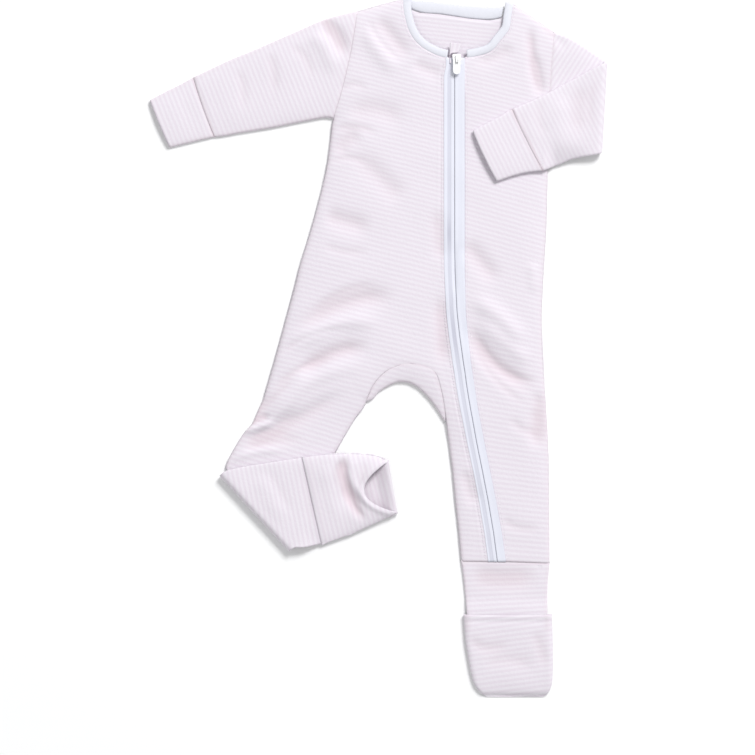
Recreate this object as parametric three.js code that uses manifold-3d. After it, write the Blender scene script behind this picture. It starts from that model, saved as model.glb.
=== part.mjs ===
// Footed baby sleepsuit in striped jersey, laid on its back on a flat surface with the zip upwards.
// Millimetres. +Z is up from the surface, +X the wearer's left, +Y towards the neck.
// The wearer's left sleeve is folded over the chest, the wearer's right leg over itself at the knee.
import * as THREE from 'three'
import Module from 'manifold-3d'

const wasm = await Module()
wasm.setup()
const { Manifold } = wasm

const clamp = (t) => Math.min(1, Math.max(0, t))
const lerp = (a, b, t) => a + (b - a) * t
const between = (a, b, t) => a.map((v, i) => lerp(v, b[i], t))

// Cloth
const wall = 1.3
const layerGap = 0.3
const seamInset = 0.2 // each piece stays this far back from a seam line
const lipDrop = 0.35 // the rim of a panel is this much thinner
const bandWall = 1.5 // rib binding round the neck
const bandWidth = 7
const edgeTop = 2 * wall + layerGap // two layers lying together at an outer edge
const edgeMid = edgeTop / 2
const edgeReach = 24 // the cloth rises to its full height this far from an edge
const edgeTurn = 1.6 // radius of a folded cloth edge
const edgeRelief = 14 // folds in the cloth reach their full depth this far from an edge
const softFloor = 0.6 // the cloth flattens out this far over its two layers

// Folds
const foldRadius = 5
const foldArc = Math.PI * (foldRadius - 2.35)
const foldSettle = 22 // the folded cloth comes down on the cloth below within this
const foldClear = 0.6 // space for the folds of the cloth below
const overhang = 30 // past the edge of the cloth below it comes down within this
const overhangStart = 4

// Zip
const chainHalf = 1.7
const tapeWall = 1
const tapeDrop = 0.2
const chainRise = 0.55
const zipTop = 262
const zipEnd = -190.6
const sliderLength = 10
const sliderWidth = 8.2
const sliderHeight = 2.6
const cornerRadius = 1.5
const pullLength = 14
const pullWidth = 6.6
const pullThick = 1.4

// How far the cloth stands up over its two layers: x, y, rise
const puffs = [
  [10, 230, 3.4], [105, 235, 3], [150, 215, 2.4], [140, 180, 2.8], [20, 150, 3.9], [110, 120, 3.6],
  [-35, 60, 4], [110, 40, 3.8], [-20, 0, 4.4], [-75, -35, 4], [100, -40, 3.4], [-100, -85, 2.6],
  [-55, -85, 2.2], [-95, -125, 1.6], [-70, -130, 1.6], [-118, -150, 1.6], [-120, -185, 1.8],
  [-125, -215, 2.6], [-134, -240, 5.4], [-142, -266, 7.6], [112, -100, 2.8], [112, -150, 2.4],
  [115, -192, 1.6], [115, -215, 1.4], [116, -250, 0.5], [-60, 250, 2.8], [-120, 228, 2.2],
  [-160, 218, 1.6], [-190, 206, 2.4], [180, 235, 1.6], [200, 215, 1.6], [235, 200, 1.6],
  [275, 180, 1.6], [305, 162, 2],
]

// Folds in the cloth seen from above: start x, y, middle x, y, end x, y, half width, height
const creases = [
  [-78, 10.5, -28.5, 42, 19.5, 44.5, 8, -2.2],
  [-82.5, -4, -37.5, 22, 7.5, 22, 7, 1.6],
  [-71.5, -27.5, -42, -5, -3, 2, 7, -2.6],
  [-101, -62, -64.5, -30, -1.5, -13, 8, 1.5],
  [-125.5, -92, -78, -65, -22, -30, 8, -2.2],
  [-120, -76, -104, -64, -82, -62, 6, -1.6],
  [-1.5, 301, 14, 280.5, 32, 259, 7, -1.6],
  [-13, 292, 1.5, 268, 21, 247, 7, 1.2],
  [-52.5, 290, -35.5, 280.5, -27.5, 257, 6, -1.9],
  [-64.5, 285, -46.5, 271.5, -39, 244, 7, 1.4],
  [-35.5, 172.5, -28.5, 186, -11, 196, 7, -1.4],
  [-28.5, 206.5, -1.5, 215.5, 28.5, 200, 9, -1.2],
  [-49, 121, -28.5, 115, -2, 107.5, 8, -1.6],
  [-24, 179.5, 5, 152.5, 23, 133, 9, -1.2],
  [82, 26, 104, -11, 147, -38, 7, -2.3],
  [80.5, 47, 111, 28.5, 135.5, -0.5, 8, 1.9],
  [78, 98.5, 93, 79, 111, 58, 8, -1.6],
  [84, 259, 106.5, 263, 124, 275, 6, -1.2],
  [141, 268, 144.5, 244.5, 149, 226.5, 6, -1.4],
  [32, 259, 44.5, 251.5, 62.5, 246, 6, -1.1],
  [141, 79, 142.5, 66, 144, 48, 6, 1.2],
  [78, -106.5, 83, -124.5, 90, -142, 6, -1.3],
  [146, -50, 142, -70, 146, -92, 6, -1.3],
]

// Folds in the cloth that lies folded over, as it is seen from above: columns as in creases
const foldedCreases = [
  [-25.5, -98, -26, -119, -8, -150, 7, -1.8],
  [-45, -101, -42, -128, -30, -160, 7, 1.1],
  [-112, -112, -96, -130, -84, -158, 8, 1],
  [190, 238, 180, 215, 186, 190, 8, -1],
  [170, 228, 163, 206, 166, 184, 8, 0.9],
]

// Seam round the neck, right and left front: x, y
const neckRight = [
  [24.3, 315.5], [24.3, 307.4], [26.1, 296.6], [29.3, 286.7], [34.7, 277.7], [41.4, 271.4],
  [49.1, 266.9], [59.9, 262.8], [65, 262],
]
const neckLeft = [
  [122.9, 311], [121, 299.3], [118.8, 287.6], [115.2, 282.2], [110.7, 276.8], [106.2, 270.9],
  [100.4, 266.9], [93.2, 264.6], [86, 263], [79, 262],
]

// The row across the hips where the legs part: the sides, the zip edge and the top of the gusset
const hip = [-93.5, -15]
const hipZip = [71.5, -12.3]
const crotchSplit = 0.7606
const backSplit = 0.5148
const crotch = between(hip, hipZip, crotchSplit)
const hipLeft = between(hip, crotch, 1 / backSplit)

// Front right, torso: armhole and side edge x, y, neck and zip edge x, y
const frontRightTorso = [
  [-17.5, 304, ...neckRight[0]], [-19.7, 287.6, ...neckRight[1]], [-22.5, 271.4, ...neckRight[2]],
  [-25.8, 255.2, ...neckRight[3]], [-29.7, 239.2, ...neckRight[4]], [-34.1, 223.3, ...neckRight[5]],
  [-39, 207.5, ...neckRight[6]], [-41.5, 190, ...neckRight[7]], [-44, 170, ...neckRight[8]],
  [-49, 146, 65, 225], [-55.5, 121, 65, 180], [-62, 98.5, 65, 140], [-69, 76, 65, 105],
  [-75, 52, 65.3, 70], [-81.5, 28.5, 66, 38], [-87, 8, 68, 12], [...hip, ...hipZip],
]

// Right leg: outer edge x, y, inner edge x, y. It turns back on itself between the rows at the knee.
const rightLeg = [
  [...hip, ...crotch], [-95, -20, 21, -14], [-98.5, -32, 10.5, -18.5], [-102, -44.5, -0.5, -29],
  [-106.5, -58, -7.5, -42], [-110.5, -66, -10.5, -50.5], [-115, -75, -18.5, -61.5],
  [-122, -87, -28.5, -78], [-127, -95, -38, -95], [-130.5, -100.5, -48, -115.5],
  [-133.5, -105, -60, -142], [-136.8, -110.7, -75.4, -177.6], [-143.5, -115.8, -80.8, -184.1],
  [-149, -130.2, -82, -192], [-154, -150, -83.5, -198.5], [-159, -170, -86, -207],
  [-163.7, -190.4, -88.2, -213.9],
]

// Front right, strip between the inner leg seam and the zip on the left leg: columns as above
const innerStrip = [
  [...crotch, ...hipZip], [43, -15, 73, -21], [52, -20, 74, -31], [58, -36.5, 76, -43.5],
  [61.5, -56, 79, -59], [64.5, -81.5, 83, -83], [68, -108.5, 88.5, -110], [70.5, -135.5, 93.5, -137],
  [73.5, -162.5, 97.8, -164], [76, -191, 101.2, -191],
]

// Front left: neck and zip edge x, y, armhole and side edge x, y
const frontLeftRows = [
  [...neckLeft[0], 160, 285], [...neckLeft[1], 158.5, 268.7], [...neckLeft[2], 157.1, 252.4],
  [...neckLeft[3], 155.95, 236.05], [...neckLeft[4], 155, 219.7], [...neckLeft[5], 154.1, 203.4],
  [...neckLeft[6], 153.5, 187], [...neckLeft[7], 153.8, 170], [...neckLeft[8], 153.9, 152],
  [...neckLeft[9], 153.4, 132], [79, 225, 152.9, 112], [79, 185, 151.8, 92], [79, 145, 150.5, 72],
  [79, 105, 149.5, 52], [79, 70, 148.6, 32], [80, 30, 149, 5], [84.5, -12, 150.3, -20],
  [91, -54.5, 152.5, -54.5], [98, -90.5, 154.5, -90.5], [107, -135.5, 155, -135.5],
  [112.3, -165, 155.3, -165], [116, -191, 155.5, -192.5],
]

// Back, torso: right armhole and side x, y, left armhole and side x, y
const backTorso = [
  [-17.5, 304, 160, 285], [-19.7, 287.6, 158.5, 268.7], [-22.5, 271.4, 157.1, 252.4],
  [-25.8, 255.2, 155.95, 236.05], [-29.7, 239.2, 155, 219.7], [-34.1, 223.3, 154.1, 203.4],
  [-39, 207.5, 153.5, 187], [-44, 170, 153.8, 160], [-55.5, 121, 153, 115], [-69, 76, 150.5, 72],
  [-81.5, 28.5, 148.6, 32], [...hip, ...hipLeft],
]

// Back neck edge that the first torso row follows: x, y. The rows below it straighten out.
const neckRowCount = 4
const backNeck = [
  [-17.5, 304], [3, 310], [24.3, 315.5], [30, 306], [38, 303], [57, 301.5], [84, 297.5],
  [102, 296], [112, 297.8], [118, 303.5], [122.9, 311], [140, 298.5], [160, 285],
]

// Left leg of the back: inner edge x, y, outer edge x, y
const leftLegBack = [
  [...crotch, ...hipLeft], [43, -15, 150.6, -20], [52, -20, 151, -30], [58, -36.5, 151.6, -43],
  [61.5, -56, 152.6, -60], [64.5, -81.5, 154, -84], [68, -108.5, 154.7, -110],
  [70.5, -135.5, 155, -137], [73.5, -162.5, 155.2, -165], [76, -191, 155.5, -192.5],
]

// Crotch gusset: seam with the legs x, y, fold along the crotch x, y
const gussetRows = [
  [-7.9, -43.5, -5, -46.6], [-0.5, -29, 2, -38.5], [10.5, -18.5, 10.5, -33], [21, -14, 19, -29.5],
  [...crotch, 29, -30], [43, -15, 38, -35], [52, -20, 47, -44], [58, -36.5, 55, -54.5],
  [61.2, -54, 59, -62],
]

// Tubes: first edge x, y, second edge x, y, bow of the lower and the upper layer, steps to the next row
const sleeveRightRows = [
  [-17.5, 304, -39, 207.5, -2.5, -2.5, 1], [-33, 300.5, -45.5, 208.5, -2, -2, 1],
  [-48, 296, -60, 206, -1, -1, 2], [-69, 287, -78, 202.5, 0, 0, 2], [-88.5, 278.5, -93, 199.5, 0, 0, 2],
  [-110, 269, -111, 196.5, 0, 0, 2], [-131, 260.5, -126.5, 194, 0, 0, 1],
  [-148, 252.5, -136.5, 192, 0.5, 0.5, 1], [-165, 244.5, -146, 191, 1, 1, 0],
]
const cuffRightRows = [
  [-165, 243.9, -146.4, 191.4, 1, 1, 1], [-178, 237.4, -159, 188, 1, 1, 1],
  [-191, 231, -172.5, 184.7, 0.5, 0.5, 1], [-204, 224, -186, 181.5, 0.5, 0.5, 0],
]
const sleeveLeftRows = [
  [160, 285, 153.5, 187, 0.8, 0.8, 1], [172, 281, 165, 184, 0.4, 0.4, 2],
  [187, 272, 178, 181.5, 0, 0, 2], [202.6, 261.4, 198, 178.3, 0, 0, 7],
  [210.6, 255.8, 205.8, 174.8, 0, 0, 1], [223, 247.6, 216, 171.8, 0, 0, 1],
  [236, 238.5, 228.5, 167.5, 0, 0, 1], [249.5, 229, 235.5, 163.5, 0, 0, 1],
  [262, 220.5, 242, 160.2, 0, 0, 1], [275, 212.8, 248, 157, -0.5, -0.5, 1],
  [286.5, 206.3, 252.8, 154.6, -1, -1, 0],
]
const cuffLeftRows = [
  [286.9, 205.4, 253.6, 154.4, -1, -1, 1], [298, 197.8, 266, 151.6, -1, -1, 1],
  [308.5, 190.6, 279, 146.8, -1, -1, 1], [319.2, 183.1, 292.6, 140.3, -1, -1, 0],
]
const legCuffLeftRows = [
  [76, -191.4, 155.4, -192.9, 0.8, 0.8, 1], [78.5, -209, 154, -209.5, 0, 0, 1],
  [80, -225, 153.5, -225, 0, 0, 1], [81, -237, 153.5, -237, 0, 0, 2], [82, -250, 153.6, -250, 0, 0, 0],
]
const legCuffRightRows = [
  [-163.7, -190.8, -88.3, -214.3, 0, 0, 1], [-166.7, -205.5, -94, -226.5, 0, 0, 1],
  [-169.4, -226, -101.5, -241.5, -3, 0, 1], [-170, -240, -107.5, -252.5, -9, 0, 1],
  [-169.4, -251.5, -113.8, -263.5, -17, 0, 1], [-165.5, -262.5, -120.6, -274.4, -26, 0, 0],
]

// Foot cover of the left foot: columns as above and the height of the cover at the row. The cuff in
// it stands on its lower layer from coverStart on.
const coverStart = -222
const footCoverLeftRows = [
  [78.2, -238, 157.7, -238, 0.6, 0.6, 1, 7.2], [79, -250, 158, -250, 0, 0, 1, 7.2],
  [80, -262, 158.4, -262, 0, 0, 1, 7], [82.2, -276, 158.6, -276, 0, 0, 1, 6.6],
  [85, -291, 158.4, -291, 0, 0, 1, 6.2], [88.4, -302, 157.4, -302, 0, 0, 1, 5.2],
  [94, -309, 154.2, -309, 0, 0, 1, 3.4], [97.5, -311.5, 151.5, -311.5, 0, 0, 0, 0],
]

// Foot cover of the right foot, turned back: it starts above the ankle seam and lies on the cuff
const footCoverRightRows = [
  [-162.6, -184.6, -85.8, -208.8, 0],
  ...legCuffRightRows.map(([ax, ay, bx, by, bow]) => [ax, ay, bx, by, bow * 1.02]),
]

// Zip guard at the top of the zip: left x, y, right x, y
const guardRows = [
  [66, 275.6, 76, 274.6], [65.9, 271, 75.2, 270.6], [65.8, 267.6, 73.4, 267.2],
  [65.7, 266.2, 67.4, 266.2], [65.7, 257, 67.3, 257],
]

const smooth = (t) => clamp(t) ** 2 * (3 - 2 * clamp(t))
const roundOff = (t) => Math.sqrt(1 - (1 - clamp(t)) ** 2)

// Nearest place on a line of points: the distance and how far along it lies, from 0 to 1
function nearest(x, y, line) {
  let best = Infinity
  let along = 0
  for (let i = 0; i + 1 < line.length; i += 1) {
    const [ax, ay] = line[i]
    const [bx, by] = line[i + 1]
    const dx = bx - ax
    const dy = by - ay
    const t = clamp(((x - ax) * dx + (y - ay) * dy) / (dx * dx + dy * dy))
    const d = Math.hypot(x - ax - t * dx, y - ay - t * dy)
    if (d < best) {
      best = d
      along = (i + t) / (line.length - 1)
    }
  }
  return [best, along]
}

const firstEdge = (rows) => rows.map((r) => [r[0], r[1]])
const secondEdge = (rows) => rows.map((r) => [r[2], r[3]])

const edges = [
  [...firstEdge(cuffRightRows).reverse(), ...firstEdge(sleeveRightRows).reverse(), neckRight[0]],
  [...secondEdge(cuffRightRows).reverse(), ...secondEdge(sleeveRightRows).reverse()],
  [...firstEdge(frontRightTorso).slice(6), ...firstEdge(rightLeg), ...firstEdge(legCuffRightRows)],
  [...secondEdge(legCuffRightRows).reverse(), ...secondEdge(rightLeg).slice(5).reverse(),
    ...secondEdge(gussetRows), ...firstEdge(innerStrip).slice(5), ...firstEdge(legCuffLeftRows)],
  [...secondEdge(frontLeftRows).slice(6), ...secondEdge(legCuffLeftRows)],
  [neckLeft[0], ...firstEdge(sleeveLeftRows), ...firstEdge(cuffLeftRows)],
  [...secondEdge(sleeveLeftRows), ...secondEdge(cuffLeftRows)],
]

const edgeDistance = (x, y) => Math.min(...edges.map((line) => nearest(x, y, line)[0]))

function rise(x, y) {
  let sum = 0
  let weight = 0
  for (const [px, py, height] of puffs) {
    const w = 1 / (((x - px) ** 2 + (y - py) ** 2 + 60) ** 2)
    sum += w * height
    weight += w
  }
  return sum / weight
}

// A crease as a line of points through its start, middle and end
function creaseLine([ax, ay, mx, my, bx, by]) {
  const cx = 2 * mx - (ax + bx) / 2
  const cy = 2 * my - (ay + by) / 2
  const at = (t) => [
    (1 - t) ** 2 * ax + 2 * t * (1 - t) * cx + t * t * bx,
    (1 - t) ** 2 * ay + 2 * t * (1 - t) * cy + t * t * by,
  ]
  return Array.from({ length: 9 }, (_, i) => at(i / 8))
}

function reliefOf(rows) {
  const lines = rows.map(creaseLine)
  return (x, y) => rows.reduce((sum, row, i) => {
    const [d, along] = nearest(x, y, lines[i])
    const taper = smooth(Math.min(along, 1 - along) / 0.3)
    return sum + row[7] * taper * Math.exp(-((d / row[6]) ** 2))
  }, 0)
}

const relief = reliefOf(creases)
const foldedRelief = reliefOf(foldedCreases)

// Height of the upper side of the garment laid out flat
function top(x, y) {
  const d = edgeDistance(x, y)
  const h = rise(x, y) * roundOff(d / edgeReach) + relief(x, y) * lerp(0.3, 1, smooth(d / edgeRelief))
  return edgeTop + (h + Math.hypot(h, softFloor)) / 2
}

// Turns the cloth beyond a line back over itself. The line passes x0, y0 and faces n to the cloth that
// stays; sink is the edge line of the cloth below: x, y and its outward direction.
function folder({ x0, y0, nx, ny, sink, sinkFrom }) {
  return (x, y, h) => {
    const d = -((x - x0) * nx + (y - y0) * ny)
    if (d <= 0) return [x, y, h]
    const lx = x + d * nx
    const ly = y + d * ny
    if (d < foldArc) {
      const turn = (Math.PI * d) / foldArc
      const r = foldRadius - h
      return [lx - r * Math.sin(turn) * nx, ly - r * Math.sin(turn) * ny, foldRadius - r * Math.cos(turn)]
    }
    const back = d - foldArc
    const fx = lx + back * nx
    const fy = ly + back * ny
    const out = (fx - sink[0]) * sink[2] + (fy - sink[1]) * sink[3]
    const over = 1 - smooth((out + overhangStart) / overhang) * smooth((fx - sinkFrom) / 12)
    const base = over * (edgeTop + rise(fx, fy) + foldClear)
    const lift = base + top(x, y) - h
    const z = lerp(2 * foldRadius - h, lift, smooth(back / foldSettle))
    return [fx, fy, z + foldedRelief(fx, fy) * clamp(1 - h / edgeTop) * smooth(back / 10)]
  }
}

const legFold = folder({
  x0: -136.27, y0: -111.37, nx: 0.7363, ny: 0.6766, sink: [-52, -128, 0.905, -0.426], sinkFrom: -400,
})
const sleeveFold = folder({
  x0: 202.46, y0: 257.68, nx: -0.9984, ny: 0.0564, sink: [153.5, 187, -0.179, -0.984], sinkFrom: 150,
})
const flat = (x, y, h) => [x, y, h]

// One closed solid from corner points and faces; equal points become one and empty faces go
function solid(points, faces) {
  const keys = new Map()
  const kept = []
  const index = points.map((p) => {
    const key = p.map((v) => Math.round(v * 1e4)).join()
    if (!keys.has(key)) {
      keys.set(key, kept.length)
      kept.push(p)
    }
    return keys.get(key)
  })
  const open = faces.map((f) => f.map((i) => index[i]))
  const tris = open.filter(([a, b, c]) => a !== b && b !== c && c !== a)
  const volume = tris.reduce((sum, [a, b, c]) => {
    const [p, q, r] = [kept[a], kept[b], kept[c]]
    const cross = [q[1] * r[2] - q[2] * r[1], q[2] * r[0] - q[0] * r[2], q[0] * r[1] - q[1] * r[0]]
    return sum + p[0] * cross[0] + p[1] * cross[1] + p[2] * cross[2]
  }, 0)
  const facing = volume < 0 ? tris.map(([a, b, c]) => [a, c, b]) : tris
  const geometry = new THREE.BufferGeometry()
  geometry.setAttribute('position', new THREE.Float32BufferAttribute(kept.flat(), 3))
  geometry.setIndex(facing.flat())
  return geometry
}

const quad = (a, b, c, d) => [[a, b, c], [a, c, d]]

// Grid of x, y places between the first and second edge of a table, at fractions across. A fifth
// column bows the row. spacing is the distance aimed at between rows.
function grid(rows, fractions, spacing) {
  const out = []
  rows.forEach((row, i) => {
    const next = rows[i + 1]
    const steps = next ? Math.max(1, Math.round(rowStep(row, next) / spacing)) : 1
    for (let k = 0; k < (next ? steps : 1); k += 1) {
      const [ax, ay, bx, by, bow = 0] = next ? between(row, next, k / steps) : row
      const width = Math.hypot(bx - ax, by - ay)
      const [mx, my] = [((by - ay) / width) * bow, (-(bx - ax) / width) * bow]
      out.push(fractions.map((u) => {
        const hollow = 4 * u * (1 - u)
        return [lerp(ax, bx, u) + mx * hollow, lerp(ay, by, u) + my * hollow]
      }))
    }
  })
  return out
}

function rowStep(a, b) {
  return (Math.hypot(b[0] - a[0], b[1] - a[1]) + Math.hypot(b[2] - a[2], b[3] - a[3])) / 2
}

// Shares of the way across a panel: close to an outer edge the columns lie closer together
function across(count, firstOuter, secondOuter) {
  const inner = Array.from({ length: count - 1 }, (_, i) => (i + 1) / count)
  const head = firstOuter ? [0, 0.02, 0.06] : [0]
  const tail = secondOuter ? [0.94, 0.98, 1] : [1]
  return [...head, ...inner.filter((u) => u > head.at(-1) + 0.02 && u < tail[0] - 0.02), ...tail]
}

// Outward directions of the rim in the plane, one for each corner on it
function rimDirections(points, faces) {
  const seen = new Map()
  for (const f of faces) {
    f.forEach((a, i) => {
      const b = f[(i + 1) % 3]
      const back = `${b},${a}`
      if (seen.has(back)) seen.delete(back)
      else seen.set(`${a},${b}`, [a, b])
    })
  }
  const out = new Map()
  for (const [a, b] of seen.values()) {
    const dx = points[b][0] - points[a][0]
    const dy = points[b][1] - points[a][1]
    const n = Math.hypot(dx, dy)
    for (const i of [a, b]) {
      const [x, y] = out.get(i) ?? [0, 0]
      out.set(i, [x + dy / n, y - dx / n])
    }
  }
  return { rim: [...seen.values()], out }
}

// A cloth panel: grids of places joined where they meet, with an upper and a lower side. Its rim is
// thinner on the side that shows.
function panel(grids, upper, lower, { fold = flat, shownBelow = false } = {}) {
  const places = []
  const keys = new Map()
  const at = (p) => {
    const key = p.map((v) => Math.round(v * 1e3)).join()
    if (!keys.has(key)) {
      keys.set(key, places.length)
      places.push(p)
    }
    return keys.get(key)
  }
  const faces = []
  for (const rows of grids) {
    for (let i = 0; i + 1 < rows.length; i += 1) {
      for (let j = 0; j + 1 < rows[i].length; j += 1) {
        const [a, b, c, d] = [rows[i][j], rows[i + 1][j], rows[i + 1][j + 1], rows[i][j + 1]].map(at)
        faces.push(...quad(a, b, c, d).filter(([p, q, r]) => p !== q && q !== r && r !== p))
      }
    }
  }
  const { rim, out } = rimDirections(places, faces)
  const kept = places.map(([x, y], i) => {
    const [ox, oy] = out.get(i) ?? [0, 0]
    const n = Math.hypot(ox, oy) || 1
    return [x - (seamInset * ox) / n, y - (seamInset * oy) / n]
  })
  const drop = (i, below) => (out.has(i) && below === shownBelow ? lipDrop : 0)
  const high = kept.map(([x, y], i) => fold(x, y, upper(x, y) - drop(i, false)))
  const low = kept.map(([x, y], i) => fold(x, y, lower(x, y) + drop(i, true)))
  const n = places.length
  const sides = rim.flatMap(([a, b]) => quad(b, a, a + n, b + n))
  const under = faces.map(([a, b, c]) => [a + n, c + n, b + n])
  return solid([...high, ...low], [...faces, ...under, ...sides])
}

const backUpper = () => wall
const backLower = () => 0
const frontLower = (x, y) => top(x, y) - wall

const ringShares = (count) => Array.from({ length: count + 1 }, (_, i) => (
  (1 - Math.cos((Math.PI * i) / count)) / 2
))

// Places round a flattened tube: share across and the layer, 0 below and 1 above
function ringPlaces(count) {
  const shares = ringShares(count)
  const inner = shares.slice(1, -1)
  return [[0, 0], ...inner.map((u) => [u, 0]), [1, 0], ...inner.reverse().map((u) => [u, 1])]
}

// The two corner points of a tube's wall, outside and inside, at one place of a section
function wallPoints(row, u, layer, { height, lift, turnFirst = true }) {
  const [ax, ay, bx, by, bowLow, bowUp] = row
  const width = Math.hypot(bx - ax, by - ay)
  const bow = 4 * u * (1 - u) * (layer ? bowUp : bowLow)
  const mx = ((by - ay) / width) * bow
  const my = (-(bx - ax) / width) * bow
  const place = (share) => [lerp(ax, bx, share) + mx, lerp(ay, by, share) + my]
  const edge = turnFirst ? Math.min(u, 1 - u) * width : (1 - u) * width
  const full = (x, y) => (height ? height : top(x, y))
  const mid = height ? height / 2 : edgeMid
  const turn = roundOff(edge / (height ? mid * 1.4 : edgeTurn))
  const [x, y] = place(u)
  const z = layer ? lerp(mid, full(x, y), turn) : lerp(mid, 0, turn)
  const share = wall / width
  const v = turnFirst ? lerp(share, 1 - share, u) : lerp(0, 1 - share, u)
  const [ix, iy] = place(v)
  const ends = u === 1 || (u === 0 && turnFirst)
  const inZ = ends ? mid : layer ? Math.max(lerp(mid, full(ix, iy) - wall, turn), mid + 0.1) : wall
  const up = lift ? lift(x, y) : 0
  return [[x, y, z + up], [ix, iy, inZ + up]]
}

function spread(rows) {
  return rows.flatMap((row, i) => {
    const next = rows[i + 1]
    if (!next) return [row]
    return Array.from({ length: row[6] }, (_, k) => between(row, next, k / row[6]))
  })
}

// Moves the first and last section back from the seam they meet
function insetEnds(rows, amount) {
  const out = rows.map((r) => [...r])
  const move = (row, other) => {
    const step = rowStep(row, other)
    return between(row, other, amount / step)
  }
  out[0] = move(rows[0], rows[1])
  out[out.length - 1] = move(rows.at(-1), rows.at(-2))
  return out
}

// A flattened tube of cloth through its sections; closedEnd joins its two layers at the last one
function tube(rows, count, { fold = flat, heightColumn, lift, closedEnd } = {}) {
  const sections = insetEnds(spread(rows), seamInset)
  const places = ringPlaces(count)
  const outer = []
  const inner = []
  sections.forEach((row, i) => {
    const last = closedEnd && i === sections.length - 1
    for (const [u, layer] of places) {
      const [o, n] = wallPoints(row, u, layer, { height: heightColumn && row[heightColumn], lift })
      outer.push(last ? [o[0], o[1], closedEnd] : o)
      inner.push(last ? [n[0], n[1] + wall * 2, closedEnd] : n)
    }
  })
  const total = outer.length
  const ring = places.length
  const faces = []
  for (let i = 0; i + 1 < sections.length; i += 1) {
    for (let j = 0; j < ring; j += 1) {
      const [a, b] = [i * ring + j, i * ring + ((j + 1) % ring)]
      faces.push(...quad(a, b, b + ring, a + ring))
      faces.push(...quad(total + b, total + a, total + a + ring, total + b + ring))
    }
  }
  const end = (sections.length - 1) * ring
  for (let j = 0; j < ring; j += 1) {
    const k = (j + 1) % ring
    faces.push(...quad(k, j, total + j, total + k))
    if (!closedEnd) faces.push(...quad(end + j, end + k, total + end + k, total + end + j))
  }
  return solid([...outer, ...inner].map((p) => fold(...p)), faces)
}

// The gusset runs over the crotch from the front to the back, folded along its second edge
function gusset(rows, count) {
  const shares = Array.from({ length: count + 1 }, (_, i) => Math.sin((Math.PI / 2) * (i / count)))
  const places = [...shares.map((u) => [u, 1]), ...shares.slice(0, -1).reverse().map((u) => [u, 0])]
  const sections = insetEnds(rows.map((r) => [...r, 0, 0, 1]), seamInset)
  const outer = []
  const inner = []
  for (const row of sections) {
    const width = Math.hypot(row[2] - row[0], row[3] - row[1])
    const start = [...between(row.slice(0, 2), row.slice(2, 4), seamInset / width), ...row.slice(2)]
    for (const [u, layer] of places) {
      const [o, n] = wallPoints(start, u, layer, { turnFirst: false })
      outer.push(o)
      inner.push(n)
    }
  }
  const total = outer.length
  const ring = places.length
  const faces = []
  for (let i = 0; i + 1 < sections.length; i += 1) {
    for (let j = 0; j + 1 < ring; j += 1) {
      const a = i * ring + j
      faces.push(...quad(a, a + 1, a + 1 + ring, a + ring))
      faces.push(...quad(total + a + 1, total + a, total + a + ring, total + a + 1 + ring))
    }
    const [first, last] = [i * ring, i * ring + ring - 1]
    faces.push(...quad(first + ring, total + first + ring, total + first, first))
    faces.push(...quad(last, total + last, total + last + ring, last + ring))
  }
  const end = (sections.length - 1) * ring
  for (let j = 0; j + 1 < ring; j += 1) {
    faces.push(...quad(j + 1, j, total + j, total + j + 1))
    faces.push(...quad(end + j, end + j + 1, total + end + j + 1, total + end + j))
  }
  return solid([...outer, ...inner], faces)
}

// A strip beside a line of points, from one offset to another, with the offsets to the right of its run
function besideRows(line, from, to) {
  return line.map(([x, y], i) => {
    const [ax, ay] = line[Math.max(0, i - 1)]
    const [bx, by] = line[Math.min(line.length - 1, i + 1)]
    const n = Math.hypot(bx - ax, by - ay)
    const [rx, ry] = [(by - ay) / n, -(bx - ax) / n]
    return [x + from * rx, y + from * ry, x + to * rx, y + to * ry]
  })
}

// x of a panel edge at a height y
function edgeAt(line, y) {
  const i = line.findIndex(([, ly], k) => k > 0 && ly <= y)
  const k = i < 0 ? line.length - 1 : i
  const [ax, ay] = line[k - 1]
  const [bx, by] = line[k]
  return lerp(ax, bx, clamp((y - ay) / (by - ay)))
}

const rightZipEdge = [...secondEdge(frontRightTorso).slice(8), ...secondEdge(innerStrip).slice(1)]
const leftZipEdge = firstEdge(frontLeftRows).slice(9)

// Rows of the zip from the neck to the ankle, between two shares of its width, and inner offsets in mm
function zipRows(from, to, start = zipTop) {
  const ys = [start, 225, 180, 145, 105, 70, 50, 38, 30, 20, 12, 0, -12, -21, -31, -43.5, -54.5, -70,
    -83, -97, -110, -122, -137, -150, -164, -178, zipEnd]
  return ys.filter((y) => y <= start).map((y) => {
    const [l, r] = [edgeAt(rightZipEdge, y), edgeAt(leftZipEdge, y)]
    const mid = (l + r) / 2
    return [from(l, mid, r), y, to(l, mid, r), y]
  })
}

const zipCentre = (edgeAt(rightZipEdge, zipTop) + edgeAt(leftZipEdge, zipTop)) / 2
const sliderY = zipTop - 1.5
const sliderBase = top(zipCentre, sliderY) + 0.15 + sliderHeight / 2

const moved = (shape, x, y, z) => shape.translate([x, y, z])
const box = (w, l, h) => Manifold.cube([w, l, h], true)

// Slider of the zip: a rounded plate body with an arch for the pull
function sliderShape() {
  const corner = Manifold.cylinder(sliderHeight, cornerRadius, cornerRadius - 0.2, 20, true)
  const [w, l] = [sliderWidth / 2 - cornerRadius, sliderLength / 2 - cornerRadius]
  const corners = [[w, l], [-w, l], [w * 0.7, -l], [-w * 0.7, -l]]
  const body = Manifold.hull(corners.map(([x, y]) => moved(corner, x, y, 0)))
  const arch = box(1.6, 6.4, 3.8).subtract(moved(box(3, 4, 2.7), 0, 0, -0.55))
  return body.add(moved(arch, 0, 0.5, sliderHeight / 2 + 1.4))
}

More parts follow.
